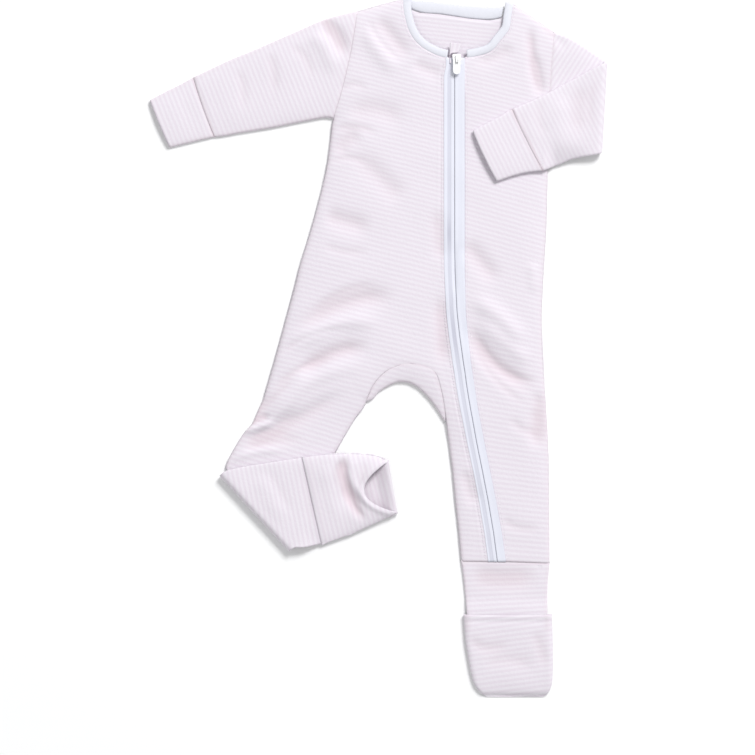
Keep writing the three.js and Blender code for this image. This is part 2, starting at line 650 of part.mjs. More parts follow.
// Pull tab lying down over the zip, with the eye that the arch of the slider passes through
function pullShape() {
  const bar = Manifold.cylinder(pullWidth - 2.4, 0.7, 0.7, 16, true).rotate([0, 90, 0])
  const end = Manifold.cylinder(pullThick, pullWidth / 2, pullWidth / 2, 28, true)
  const head = Manifold.cylinder(pullThick, 1, 1, 16, true)
  const x = pullWidth / 2 - 1
  const tab = Manifold.hull([
    moved(end, 0, -pullLength + pullWidth / 2, 0), moved(head, -x, -0.9, 0), moved(head, x, -0.9, 0),
  ])
  const eye = moved(box(2.6, 4.4, 4), 0, -2.9, 0)
  return tab.subtract(moved(box(pullWidth + 2, 2, 4), 0, 0.9, 0)).subtract(eye).add(bar)
}

function shapeGeometry(shape) {
  const mesh = shape.getMesh()
  const corner = (i) => [...mesh.vertProperties.slice(i * mesh.numProp, i * mesh.numProp + 3)]
  const points = Array.from({ length: mesh.numVert }, (_, i) => corner(i))
  const faces = Array.from({ length: mesh.numTri }, (_, i) => [...mesh.triVerts.slice(3 * i, 3 * i + 3)])
  return solid(points, faces)
}

const group = new THREE.Group()

function add(name, geometry, colour) {
  const material = new THREE.MeshStandardMaterial({ color: colour, roughness: 0.9 })
  material.name = name
  const mesh = new THREE.Mesh(geometry, material)
  mesh.name = name
  group.add(mesh)
}

const jersey = 0xf0e6ee
const rib = 0xe8ecf6
const plastic = 0xfafafa

// Shares across the front panels and the legs; the torso rows split where the legs part
const frontShares = across(9, true, false)
const stripShares = across(3, false, false)
const backShares = across(8, true, false)
const legShares = across(7, false, true)
const joined = (split, first, second) => [
  ...first.map((u) => u * split), ...second.slice(1).map((u) => split + (1 - split) * u),
]

const distance = ([ax, ay], [bx, by]) => Math.hypot(bx - ax, by - ay)
const lineLength = (line) => line.slice(1).reduce((sum, p, i) => sum + distance(line[i], p), 0)

// A place on a line of points at a share of its length
function pointAlong(line, share) {
  let left = share * lineLength(line)
  for (let i = 0; i + 1 < line.length; i += 1) {
    const step = distance(line[i], line[i + 1])
    if (left <= step || i + 2 === line.length) return between(line[i], line[i + 1], clamp(left / step))
    left -= step
  }
  return line.at(-1)
}

// The back's first rows follow the neck edge and straighten out below it
function backTorsoGrid() {
  const rows = grid(backTorso, joined(backSplit, backShares, legShares), 16)
  const straight = rows[0]
  const width = distance(straight[0], straight.at(-1))
  const follow = straight.map((p) => pointAlong(backNeck, distance(straight[0], p) / width))
  return rows.map((row, i) => row.map(([x, y], j) => {
    const fade = clamp(1 - i / neckRowCount)
    return [x + (follow[j][0] - straight[j][0]) * fade, y + (follow[j][1] - straight[j][1]) * fade]
  }))
}

add('back', panel([
  backTorsoGrid(), grid(rightLeg, backShares, 14), grid(leftLegBack, legShares, 14),
], backUpper, backLower, { fold: legFold, shownBelow: true }), jersey)

add('front_right', panel([
  grid(frontRightTorso, joined(crotchSplit, frontShares, stripShares), 10),
  grid(rightLeg, frontShares, 9), grid(innerStrip, stripShares, 12),
], top, frontLower, { fold: legFold }), jersey)

add('front_left', panel([grid(frontLeftRows, across(7, false, true), 10)], top, frontLower), jersey)
add('crotch_gusset', gusset(gussetRows, 4), jersey)
add('sleeve_right', tube(sleeveRightRows, 12), jersey)
add('sleeve_left', tube(sleeveLeftRows, 12, { fold: sleeveFold }), jersey)
add('cuff_right', tube(cuffRightRows, 10), jersey)
add('cuff_left', tube(cuffLeftRows, 10, { fold: sleeveFold }), jersey)
add('leg_cuff_left', tube(legCuffLeftRows, 12, {
  lift: (x, y) => (wall + layerGap + 0.1) * smooth((coverStart - y) / 14),
}), jersey)
add('leg_cuff_right', tube(legCuffRightRows, 12, { fold: legFold }), jersey)
add('foot_cover_left', tube(footCoverLeftRows, 12, { heightColumn: 7, closedEnd: 1.7 }), jersey)

add('foot_cover_right', panel(
  [grid(footCoverRightRows, ringShares(12), 100)], () => -layerGap, () => -layerGap - wall, { fold: legFold },
), jersey)

const bandShares = [0, 0.25, 0.5, 0.75, 1]
const band = (line, from, to) => [grid(besideRows(line.slice(0, -1), from, to), bandShares, 9)]
const bandUpper = (x, y) => top(x, y) + 0.5
const bandLower = (x, y) => top(x, y) - bandWall + 0.2
add('neck_binding_right', panel(band(neckRight, -0.1, -bandWidth), bandUpper, bandLower), rib)
add('neck_binding_left', panel(band(neckLeft, 0.1, bandWidth), bandUpper, bandLower), rib)

const backBandRows = [
  [31.5, 314, 32, 307.2], [44, 312.8, 41, 303.5], [57, 311.5, 57, 302.1], [71, 310, 70.5, 300.2],
  [85, 308.6, 84, 298.2], [100, 307.8, 102, 297.4], [112, 308, 109.5, 299.8],
]
add('neck_binding_back', panel([grid(backBandRows, [0, 0.3, 0.7, 1], 9)], () => wall + 0.2, backLower), rib)

const tapeUpper = (x, y) => top(x, y) - tapeDrop
const tapeLower = (x, y) => top(x, y) - tapeDrop - tapeWall
add('zip_tape_right', panel([grid(zipRows((l) => l + 0.1, (l, m) => m - chainHalf), [0, 0.5, 1], 30)],
  tapeUpper, tapeLower), rib)
add('zip_tape_left', panel([grid(zipRows((l, m) => m + chainHalf, (l, m, r) => r - 0.1), [0, 0.5, 1], 30)],
  tapeUpper, tapeLower), rib)
const chainTop = sliderY - sliderLength / 2 - 0.1
add('zip_chain', panel([grid(
  zipRows((l, m) => m - chainHalf + 0.1, (l, m) => m + chainHalf - 0.1, chainTop), [0, 0.3, 0.7, 1], 30,
)], (x, y) => top(x, y) + chainRise, (x, y) => top(x, y) - tapeWall), plastic)

add('zip_slider', shapeGeometry(moved(sliderShape(), zipCentre, sliderY, sliderBase)), plastic)
add('zip_pull', shapeGeometry(moved(
  pullShape(), zipCentre, sliderY + 0.5, sliderBase + sliderHeight / 2 + 1,
)), plastic)
add('zip_guard', panel([grid(guardRows, [0, 0.5, 1], 6)], (x, y) => top(x, y) + 1.15,
  (x, y) => top(x, y) + 0.15), jersey)

// The origin is the middle of the underside
const bounds = new THREE.Box3().setFromObject(group)
const middle = bounds.getCenter(new THREE.Vector3())
group.children.forEach((mesh) => mesh.geometry.translate(-middle.x, -middle.y, -bounds.min.z))

export default group
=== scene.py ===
"""Looks of a footed baby sleepsuit in striped jersey, laid flat and seen from straight above.

The cloth is worked out as it lies flat, in millimetres in the layout's own frame, and is then
turned over at the two folds: the left sleeve over the chest and the right leg at the knee.
"""

from __future__ import annotations

import logging
import math
from dataclasses import dataclass, field
from enum import Enum
from typing import Callable, Sequence, Union

import bpy
import numpy as np
from bpy.types import ID, Material, Node, NodeSocket, Object
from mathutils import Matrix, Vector

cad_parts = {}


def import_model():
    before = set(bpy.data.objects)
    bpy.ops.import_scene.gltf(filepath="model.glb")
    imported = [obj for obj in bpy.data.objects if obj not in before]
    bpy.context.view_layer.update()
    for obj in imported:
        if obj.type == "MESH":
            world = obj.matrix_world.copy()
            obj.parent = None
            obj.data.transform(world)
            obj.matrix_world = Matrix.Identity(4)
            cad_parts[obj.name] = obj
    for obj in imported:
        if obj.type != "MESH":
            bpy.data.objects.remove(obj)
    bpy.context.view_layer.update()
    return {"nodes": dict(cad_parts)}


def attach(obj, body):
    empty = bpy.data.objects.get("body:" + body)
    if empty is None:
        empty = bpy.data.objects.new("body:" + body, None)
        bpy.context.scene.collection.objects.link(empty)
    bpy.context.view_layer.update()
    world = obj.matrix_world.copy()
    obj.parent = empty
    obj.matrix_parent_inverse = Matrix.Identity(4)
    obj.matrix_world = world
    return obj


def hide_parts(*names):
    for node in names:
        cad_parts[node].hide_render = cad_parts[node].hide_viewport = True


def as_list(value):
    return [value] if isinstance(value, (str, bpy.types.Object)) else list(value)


LOG = logging.getLogger("sleepsuit")
METRE = 0.001
MIDDLE = (1.75, 1.99)  # middle of the laid-out garment in the layout's frame, mm

Array = np.ndarray
Row = Sequence[float]
Rows = Sequence[Row]
Colour = tuple[float, float, float, float]
Height = Callable[[Array], Array]

TURN = 2.0 * math.pi
PATTERN_MM = 100.0  # mm for each unit of the pattern coordinates

# Cloth, mm
WALL = 1.3
LAYER_GAP = 0.3
EDGE_TOP = 2 * WALL + LAYER_GAP
EDGE_MID = EDGE_TOP / 2
EDGE_REACH = 24.0
EDGE_TURN = 1.6
SOFT_FLOOR = 0.6
SHOWN_WALL = 1.1
THIN_WALL = 0.6
FOLD_RADIUS = 5.0
FOLD_NEUTRAL = 2.35  # height of the layer that keeps its length round a fold
FOLD_ARC = math.pi * (FOLD_RADIUS - FOLD_NEUTRAL)
FOLD_SETTLE = 22.0
OVERHANG = 30.0
FINE_SPACING = 0.7  # between rows at a sharp bend
DIP_REACH = 2.2  # how far a seam draws the cloth down
SEAM_DIP = 0.7
ZIP_TOP = 262.0
ZIP_END = -190.9
HEM_STITCH = 2.0  # stitches this far from the zip tape
BAND_WIDTH = 7.0

# Columns of a tube's rows that hold the bows of its layers
LOWER_BOW = 4
UPPER_BOW = 5

# How far the cloth stands up over its two layers: x, y, rise
PUFFS: Rows = (
    (10, 230, 3.4), (105, 235, 3), (150, 215, 2.4), (140, 180, 2.8), (20, 150, 3.9), (110, 120, 3.6),
    (-35, 60, 4), (110, 40, 3.8), (-20, 0, 4.4), (-75, -35, 4), (100, -40, 3.4), (-100, -85, 2.6),
    (-55, -85, 2.2), (-95, -125, 1.6), (-70, -130, 1.6), (-118, -150, 1.6), (-120, -185, 1.8),
    (-125, -215, 2.6), (-134, -240, 5.4), (-142, -266, 7.6), (112, -100, 2.8), (112, -150, 2.4),
    (115, -192, 1.6), (115, -215, 1.4), (116, -250, 0.5), (-60, 250, 2.8), (-120, 228, 2.2),
    (-160, 218, 1.6), (-190, 206, 2.4), (180, 235, 1.6), (200, 215, 1.6), (235, 200, 1.6),
    (275, 180, 1.6), (305, 162, 2),
)

# Folds seen from above: start x, y, middle x, y, end x, y, half width, height
CREASES: Rows = (
    (-78, 10.5, -28.5, 42, 19.5, 44.5, 8, -2.2), (-82.5, -4, -37.5, 22, 7.5, 22, 7, 1.6),
    (-71.5, -27.5, -42, -5, -3, 2, 7, -2.6), (-101, -62, -64.5, -30, -1.5, -13, 8, 1.5),
    (-125.5, -92, -78, -65, -22, -30, 8, -2.2), (-120, -76, -104, -64, -82, -62, 6, -1.6),
    (-1.5, 301, 14, 280.5, 32, 259, 7, -1.6), (-13, 292, 1.5, 268, 21, 247, 7, 1.2),
    (-52.5, 290, -35.5, 280.5, -27.5, 257, 6, -1.9), (-64.5, 285, -46.5, 271.5, -39, 244, 7, 1.4),
    (-35.5, 172.5, -28.5, 186, -11, 196, 7, -1.4), (-28.5, 206.5, -1.5, 215.5, 28.5, 200, 9, -1.2),
    (-49, 121, -28.5, 115, -2, 107.5, 8, -1.6), (-24, 179.5, 5, 152.5, 23, 133, 9, -1.2),
    (82, 26, 104, -11, 147, -38, 7, -2.3), (80.5, 47, 111, 28.5, 135.5, -0.5, 8, 1.9),
    (78, 98.5, 93, 79, 111, 58, 8, -1.6), (84, 259, 106.5, 263, 124, 275, 6, -1.2),
    (141, 268, 144.5, 244.5, 149, 226.5, 6, -1.4), (32, 259, 44.5, 251.5, 62.5, 246, 6, -1.1),
    (141, 79, 142.5, 66, 144, 48, 6, 1.2), (78, -106.5, 83, -124.5, 90, -142, 6, -1.3),
    (146, -50, 142, -70, 146, -92, 6, -1.3),
)

# Smaller wrinkles, seen only here: columns as in CREASES
WRINKLES: Rows = (
    (-90, -8, -60, 12, -20, 20, 3, -0.7), (-96, -40, -70, -18, -40, -8, 3, -0.8),
    (-118, -84, -100, -76, -74, -76, 3, -0.7),
    (-60, 30, -30, 52, 5, 58, 3.5, -0.5), (-132, -104, -110, -92, -78, -92, 3.5, 0.7),
    (-8, 298, 4, 276, 26, 256, 3, -0.5), (-40, 196, -20, 200, 4, 192, 3, -0.6),
    (-44, 168, -26, 172, -6, 166, 3, -0.5), (86, 20, 112, -18, 150, -28, 3, -0.7),
    (84, 12, 104, -24, 140, -52, 3.5, -0.5), (-80, 272, -64, 262, -58, 240, 3.5, -0.5),
    (-100, 268, -92, 250, -94, 226, 4, -0.5), (-128, 252, -120, 236, -122, 212, 4, -0.45),
    (118, -60, 132, -72, 150, -76, 4, -0.5), (112, -150, 126, -160, 150, -160, 4, -0.45),
    (72, 100, 70, 72, 72, 44, 2.5, -0.6), (-36, 230, -22, 238, -6, 232, 3, -0.45),
    (96, 190, 112, 176, 128, 172, 5, -0.4), (-50, 96, -30, 88, -4, 88, 4, -0.45),
    (-116, -62, -95, -46, -66, -20, 4.5, -1.1), (-110, -72, -86, -56, -56, -26, 4.5, 0.9),
    (-121, -67, -108, -63.5, -95, -59, 2.8, -3.2), (-124, -74, -108, -70.5, -90, -64, 3.5, 1.3),
    (-120, -76, -104, -64, -82, -62, 6, 0.9), (-122, -90, -96, -83, -62, -80, 5, -0.7),
    (-84, -62, -56, -46, -20, -26, 7, 0.95),
    (91, 30, 116, 5, 143, -13, 7, 1.1), (139, 292, 140, 262, 149, 226, 4, -1.3),
    (146, 296, 160, 282, 172, 268, 4, -0.7), (58, 52, 58, 16, 61, -18, 6, -1.4),
    (54, 130, 56, 100, 58, 78, 6, -0.9), (-53, 294, -40, 288, -31, 262, 4.5, -1.4),
    (82, -200, 112, -206, 148, -202, 9, -1.3), (82, -256, 98, -268, 122, -262, 5, -0.7),
    (140, -252, 147, -268, 152, -290, 5, -0.6), (94, -286, 118, -279, 146, -288, 6, -0.5),
    (144, -36, 147, -60, 148, -92, 6, -1.1),
)

# Folds on the cloth that lies turned over, as seen from above
FOLDED_CREASES: Rows = (
    (-25.5, -98, -26, -119, -8, -150, 7, -1.8), (-45, -101, -42, -128, -30, -160, 7, 1.1),
    (-112, -112, -96, -130, -84, -158, 8, 1), (190, 238, 180, 215, 186, 190, 8, -1),
    (170, 228, 163, 206, 166, 184, 8, 0.9), (-25.5, -98, -27, -116, -14, -144, 2.6, -1.1),
    (-100, -104, -88, -126, -76, -150, 4, -0.6), (-70, -100, -62, -130, -58, -166, 4, -0.5),
    (-12, -100, -12, -112, -18, -124, 3, -0.6), (200, 244, 192, 222, 196, 190, 4, -0.6),
    (150, 226, 146, 208, 156, 186, 4, -0.5), (130, 216, 132, 196, 142, 176, 4, -0.4),
    (-24, -94, -31, -116, -10, -150, 3.2, -2.1), (-17, -97, -22, -118, 2, -146, 3.6, 1.7),
    (-30, -96, -37, -112, -34, -128, 2.6, -0.8), (-27, -128, -20, -140, -8, -153, 2.2, -1.1),
    (-31, -120, -24, -138, -8, -157, 3.2, -1.8),
)

NECK_RIGHT: Rows = (
    (24.3, 315.5), (24.3, 307.4), (26.1, 296.6), (29.3, 286.7), (34.7, 277.7), (41.4, 271.4),
    (49.1, 266.9), (59.9, 262.8), (65, 262),
)
NECK_LEFT: Rows = (
    (122.9, 311), (121, 299.3), (118.8, 287.6), (115.2, 282.2), (110.7, 276.8), (106.2, 270.9),
    (100.4, 266.9), (93.2, 264.6), (86, 263), (79, 262),
)
HIP = (-93.5, -15.0)
HIP_ZIP = (71.5, -12.3)
CROTCH_SPLIT = 0.7606
BACK_SPLIT = 0.5148
CROTCH = tuple(a + (b - a) * CROTCH_SPLIT for a, b in zip(HIP, HIP_ZIP))
HIP_LEFT = tuple(a + (b - a) / BACK_SPLIT for a, b in zip(HIP, CROTCH))

# Panels: first edge x, y, second edge x, y
FRONT_RIGHT: Rows = (
    (-17.5, 304, *NECK_RIGHT[0]), (-19.7, 287.6, *NECK_RIGHT[1]), (-22.5, 271.4, *NECK_RIGHT[2]),
    (-25.8, 255.2, *NECK_RIGHT[3]), (-29.7, 239.2, *NECK_RIGHT[4]), (-34.1, 223.3, *NECK_RIGHT[5]),
    (-39, 207.5, *NECK_RIGHT[6]), (-41.5, 190, *NECK_RIGHT[7]), (-44, 170, *NECK_RIGHT[8]),
    (-49, 146, 65, 225), (-55.5, 121, 65, 180), (-62, 98.5, 65, 140), (-69, 76, 65, 105),
    (-75, 52, 65.3, 70), (-81.5, 28.5, 66, 38), (-87, 8, 68, 12), (*HIP, *HIP_ZIP),
)
RIGHT_LEG: Rows = (
    (*HIP, *CROTCH), (-95, -20, 21, -14), (-98.5, -32, 10.5, -18.5), (-102, -44.5, -0.5, -29),
    (-108, -58, -7.5, -42), (-111.2, -65.5, -10.5, -50.5), (-118.5, -74, -18.5, -61.5),
    (-126.5, -86.5, -28.5, -78), (-131, -94.5, -38, -95), (-134, -100, -48, -115.5),
    (-135.6, -105.3, -60, -142), (-136.8, -110.7, -75.4, -177.6), (-143.5, -115.8, -80.8, -184.1),
    (-149, -130.2, -82, -192), (-154, -150, -83.5, -198.5), (-159, -170, -86, -207),
    (-163.7, -190.4, -88.2, -213.9),
)
INNER_STRIP: Rows = (
    (*CROTCH, *HIP_ZIP), (43, -15, 73, -21), (52, -20, 74, -31), (58, -36.5, 76, -43.5),
    (61.5, -56, 79, -59), (64.5, -81.5, 83, -83), (68, -108.5, 88.5, -110), (70.5, -135.5, 93.5, -137),
    (73.5, -162.5, 97.8, -164), (76, -191, 101.2, -191),
)
FRONT_LEFT: Rows = (
    (*NECK_LEFT[0], 160, 285), (*NECK_LEFT[1], 158.5, 268.7), (*NECK_LEFT[2], 157.1, 252.4),
    (*NECK_LEFT[3], 155.95, 236.05), (*NECK_LEFT[4], 155, 219.7), (*NECK_LEFT[5], 154.1, 203.4),
    (*NECK_LEFT[6], 153.5, 187), (*NECK_LEFT[7], 153.8, 170), (*NECK_LEFT[8], 153.9, 152),
    (*NECK_LEFT[9], 153.4, 132), (79, 225, 152.9, 112), (79, 185, 151.8, 92), (79, 145, 150.5, 72),
    (79, 105, 149.5, 52), (79, 70, 148.6, 32), (80, 30, 149, 5), (84.5, -12, 150.3, -20),
    (91, -54.5, 152.5, -54.5), (98, -90.5, 154.5, -90.5), (107, -135.5, 155, -135.5),
    (112.3, -165, 155.3, -165), (116, -191, 155.5, -192.5),
)
BACK_NECK: Rows = (
    (-17.5, 304), (3, 310), (24.3, 315.5), (30, 306), (38, 303), (57, 301.5), (84, 297.5),
    (102, 296), (112, 297.8), (118, 303.5), (122.9, 311), (140, 298.5), (160, 285),
)
GUSSET: Rows = (
    (-9.6, -46.6, -9.4, -47.2), (-7.9, -43.5, -5.4, -45.8), (-0.5, -29, 2, -38.5),
    (10.5, -18.5, 10.5, -33), (21, -14, 19, -29.5), (*CROTCH, 29, -30), (43, -15, 38, -35),
    (52, -20, 47, -44), (58, -36.5, 55, -54.5), (61.2, -54, 59.6, -62), (62.0, -61, 61.6, -65),
)

# Tubes: first edge x, y, second edge x, y, bow of the lower and of the upper layer
SLEEVE_RIGHT: Rows = (
    (-17.5, 304, -39, 207.5, -2.5, -2.5), (-33, 300.5, -45.5, 208.5, -2, -2),
    (-48, 296, -60, 206, -1, -1), (-69, 287, -78, 202.5, 0, 0), (-88.5, 278.5, -93, 199.5, 0, 0),
    (-110, 269, -111, 196.5, 0, 0), (-131, 260.5, -126.5, 194, 0, 0),
    (-148, 252.5, -136.5, 192, 0.5, 0.5), (-165, 244.5, -146, 191, 1, 1),
)
CUFF_RIGHT: Rows = (
    SLEEVE_RIGHT[-1], (-178, 237.4, -159, 188, 1, 1),
    (-191, 231, -172.5, 184.7, 0.5, 0.5), (-204, 224, -186, 181.5, 0.5, 0.5),
)
SLEEVE_LEFT: Rows = (
    (160, 285, 153.5, 187, 0.8, 0.8), (172, 281, 165, 184, 0.4, 0.4), (187, 272, 178, 181.5, 0, 0),
    (202.6, 261.4, 198, 178.3, 0, 0), (210.6, 255.8, 205.8, 174.8, 0, 0),
    (223, 247.6, 216, 171.8, 0, 0), (236, 238.5, 228.5, 167.5, 0, 0),
    (249.5, 229, 235.5, 163.5, 0, 0), (262, 220.5, 242, 160.2, 0, 0),
    (275, 212.8, 248, 157, -0.5, -0.5), (286.5, 206.3, 252.8, 154.6, -1, -1),
)
CUFF_LEFT: Rows = (
    SLEEVE_LEFT[-1], (298, 197.8, 266, 151.6, -1, -1),
    (308.5, 190.6, 279, 146.8, -1, -1), (319.2, 183.1, 292.6, 140.3, -1, -1),
)
LEG_CUFF_LEFT: Rows = (
    (76, -191, 155.5, -192.5, 0, 0), (77, -197, 155, -198, 0.6, 0.6), (78.5, -209, 154, -209.5, 0, 0),
    (80, -225, 153.5, -225, 0, 0), (81, -237, 153.5, -237, 0, 0), (82, -250, 153.6, -250, 0, 0),
)
LEG_CUFF_RIGHT: Rows = (
    (-163.7, -190.4, -88.2, -213.9, 0, 0), (-166.7, -205.5, -94, -226.5, 0, 0),
    (-169.4, -226, -101.5, -241.5, -3, 0), (-170, -240, -107.5, -252.5, -9, 0),
    (-169.4, -251.5, -113.8, -263.5, -17, 0), (-165.5, -262.5, -120.6, -274.4, -26, 0),
)
FOOT_COVER_LEFT: Rows = (
    (78.2, -238, 157.7, -238, 0.6, 0.6, 7.2), (79, -250, 158, -250, 0, 0, 7.2),
    (80, -262, 158.4, -262, 0, 0, 7), (82.2, -276, 158.6, -276, 0, 0, 6.6),
    (85, -291, 158.4, -291, 0, 0, 6.2), (88.4, -302, 157.4, -302, 0, 0, 5.2),
    (94, -309, 154.2, -309, 0, 0, 3.4), (97.5, -311.5, 151.5, -311.5, 0, 0, 1),
)
FOOT_COVER_RIGHT: Rows = (
    (-162.6, -184.6, -85.8, -208.8, 0),
    *((a, b, c, d, bow * 1.02) for a, b, c, d, bow, _ in LEG_CUFF_RIGHT),
)
GUARD: Rows = (
    (66, 275.6, 76, 274.6), (65.9, 271, 75.2, 270.6), (65.8, 267.6, 73.4, 267.2),
    (65.7, 266.2, 67.4, 266.2), (65.7, 257, 67.3, 257),
)
BACK_BAND: Rows = (
    (29.4, 315, 30.6, 306.6), (44, 313.2, 41, 303.2), (57, 311.8, 57, 301.9), (71, 310.2, 70.5, 299.9),
    (85, 308.8, 84, 297.9), (100, 307.9, 102, 296.9), (114, 308, 112.5, 298.6),
)


class Held(Enum):
    LAID = "laid"
    FOLDED = "folded"


class Side(Enum):
    """Which way the outer side of a flat panel faces before it is folded."""

    UP = 1
    DOWN = -1


def smooth(t: Array) -> Array:
    """Eases values, clipped to 0..1, from 0 to 1."""
    t = np.clip(t, 0.0, 1.0)
    return t * t * (3.0 - 2.0 * t)


def round_off(t: Array) -> Array:
    """Height of a quarter circle from 0 at 0 to 1 at 1, for values clipped to 0..1."""
    return np.sqrt(np.maximum(0.0, 1.0 - (1.0 - np.clip(t, 0.0, 1.0)) ** 2))


def bell(t: Array) -> Array:
    """A bell curve, 1 at 0 and fading on both sides."""
    return np.exp(-(t**2))


def nearest(points: Array, line: Array) -> tuple[Array, Array]:
    """Nearest place on a line of points.

    Args:
        points: Places, N by 2.
        line: The line's points, M by 2.

    Returns:
        The distance, and how far along the line it lies, from 0 to 1.
    """
    best = np.full(len(points), np.inf)
    along = np.zeros(len(points))
    for i, (a, b) in enumerate(zip(line[:-1], line[1:])):
        d = b - a
        t = np.clip(((points - a) @ d) / max(float(d @ d), 1e-9), 0.0, 1.0)
        away = np.hypot(*(points - a - t[:, None] * d).T)
        near = away < best
        best[near] = away[near]
        along[near] = (i + t[near]) / (len(line) - 1)
    return best, along


def edge(rows: Rows, second: bool = False) -> list[tuple[float, float]]:
    """One edge of a table of rows.

    Args:
        rows: The table.
        second: The second edge, and otherwise the first.

    Returns:
        The edge's points.
    """
    k = 2 if second else 0
    return [(r[k], r[k + 1]) for r in rows]


def bezier(row: Row, count: int = 12) -> Array:
    """A crease as a line through its start, middle and end.

    Args:
        row: Start x, y, middle x, y, end x, y, and more columns.
        count: Number of stretches.

    Returns:
        The line's points.
    """
    a, m, b = (np.array(row[k : k + 2], float) for k in (0, 2, 4))
    c = 2 * m - (a + b) / 2
    t = np.linspace(0.0, 1.0, count + 1)[:, None]
    return (1 - t) ** 2 * a + 2 * t * (1 - t) * c + t * t * b


BACK_TORSO: Rows = (
    *((*a, *b) for a, b in zip(edge(FRONT_RIGHT)[:7], edge(FRONT_LEFT, True))),
    (-44, 170, 153.8, 160), (-55.5, 121, 153, 115), (-69, 76, 150.5, 72), (-81.5, 28.5, 148.6, 32),
    (*HIP, *HIP_LEFT),
)
LEFT_LEG_OUTER: Rows = (
    HIP_LEFT, (150.6, -20), (151, -30), (151.6, -43), (152.6, -60), (154, -84), (154.7, -110),
    (155, -137), (155.2, -165), (155.5, -192.5),
)
LEFT_LEG_BACK: Rows = tuple((*a, *b) for a, b in zip(edge(INNER_STRIP), LEFT_LEG_OUTER))
RIGHT_ZIP_EDGE = [*edge(FRONT_RIGHT, True)[8:], *edge(INNER_STRIP, True)[1:]]
LEFT_ZIP_EDGE = edge(FRONT_LEFT)[9:]
ANKLE_LEFT = ((76, -191.2), (115, -191.2), (155.5, -192.7))

# Seams and how much shade is painted along them, which also sets how far they draw the cloth down
SEAMS: tuple[tuple[Rows, float], ...] = (
    (edge(FRONT_RIGHT)[:7], 0.35), (edge(FRONT_LEFT, True)[:7], 0.3), (edge(GUSSET), 0.35),
    (NECK_RIGHT, 0.2), (NECK_LEFT, 0.2), (ANKLE_LEFT, 0.4),
    *(((r[0][:2], r[0][2:4]), w) for r, w in ((CUFF_RIGHT, 0.8), (CUFF_LEFT, 0.9), (LEG_CUFF_RIGHT, 0.3))),
)


@dataclass
class Relief:
    """Soft troughs and ridges along creases.

    Attributes:
        rows: The table of creases.
    """

    rows: Rows
    lines: list[Array] = field(init=False)

    def __post_init__(self) -> None:
        """Works out the creases' lines."""
        self.lines = [bezier(r) for r in self.rows]

    def at(self, points: Array) -> Array:
        """Height of the relief.

        Args:
            points: Places, N by 2, in mm.

        Returns:
            The height at each place, in mm.
        """
        total = np.zeros(len(points))
        for row, line in zip(self.rows, self.lines):
            low, high = line.min(0) - 3 * row[6], line.max(0) + 3 * row[6]
            near = np.all((points > low) & (points < high), axis=1)
            if not near.any():
                continue
            d, along = nearest(points[near], line)
            taper = smooth(np.minimum(along, 1 - along) / 0.3)
            total[near] += row[7] * taper * bell(d / row[6])
        return total


@dataclass
class Lay:
    """The garment laid out flat: how high its upper side stands at any place.

    Attributes:
        edges: Its outer edges.
        relief: Its main creases.
        wrinkles: Its small wrinkles.
        crease_weight: How much deeper the creases are than the plain form's.
        wrinkle_weight: How much deeper the wrinkles are than their table says.
    """

    edges: list[Array] = field(init=False)
    relief: Relief = field(default_factory=lambda: Relief(CREASES))
    wrinkles: Relief = field(default_factory=lambda: Relief(WRINKLES))
    crease_weight: float = 1.35
    wrinkle_weight: float = 1.6

    def __post_init__(self) -> None:
        """Collects the outer edges from the tables."""
        self.edges = [
            np.array(e, float)
            for e in (
                [*edge(CUFF_RIGHT)[::-1], *edge(SLEEVE_RIGHT)[::-1], NECK_RIGHT[0]],
                [*edge(CUFF_RIGHT, True)[::-1], *edge(SLEEVE_RIGHT, True)[::-1]],
                [*edge(FRONT_RIGHT)[6:], *edge(RIGHT_LEG), *edge(LEG_CUFF_RIGHT)],
                [*edge(LEG_CUFF_RIGHT, True)[::-1], *edge(RIGHT_LEG, True)[5:][::-1],
                 *edge(GUSSET, True), *edge(INNER_STRIP)[5:], *edge(LEG_CUFF_LEFT)],
                [*edge(FRONT_LEFT, True)[6:], *edge(LEG_CUFF_LEFT, True)],
                [NECK_LEFT[0], *edge(SLEEVE_LEFT), *edge(CUFF_LEFT)],
                [*edge(SLEEVE_LEFT, True), *edge(CUFF_LEFT, True)],
            )
        ]

    def edge_distance(self, points: Array) -> Array:
        """Distances of places, N by 2, to the garment's outer edges, in mm."""
        return np.min([nearest(points, e)[0] for e in self.edges], axis=0)

    def rise(self, points: Array) -> Array:
        """How far the cloth stands up over its two layers.

        Args:
            points: Places, N by 2.

        Returns:
            The rise in mm.
        """
        total = np.zeros(len(points))
        weight = np.zeros(len(points))
        for x, y, height in PUFFS:
            w = 1.0 / ((points[:, 0] - x) ** 2 + (points[:, 1] - y) ** 2 + 60.0) ** 2
            total += w * height
            weight += w
        return total / weight

    def top(self, points: Array, plain: bool = False) -> Array:
        """Height of the upper side.

        Args:
            points: Places, N by 2.
            plain: Leave the small wrinkles out.

        Returns:
            The height in mm.
        """
        d = self.edge_distance(points)
        relief = self.relief.at(points) * (0.3 + 0.7 * smooth(d / 14))
        if not plain:
            small = self.wrinkle_weight * self.wrinkles.at(points)
            relief = relief * self.crease_weight + small + self.unevenness(points) * smooth(d / 10)
        h = self.rise(points) * round_off(d / EDGE_REACH) + relief
        return EDGE_TOP + (h + np.hypot(h, SOFT_FLOOR)) / 2

    @staticmethod
    def unevenness(points: Array) -> Array:
        """The slight waves that soft cloth keeps when it is laid down.

        Args:
            points: Places, N by 2.

        Returns:
            A height of about a third of a millimetre either way.
        """
        x, y = points.T
        return (
            0.2 * np.sin(x / 9.1 + 1.3 * np.sin(y / 23.0)) * np.sin(y / 12.7 + 0.8)
            + 0.16 * np.sin((x + 0.7 * y) / 17.3 + 2.1) * np.sin((y - 0.5 * x) / 14.9)
        )


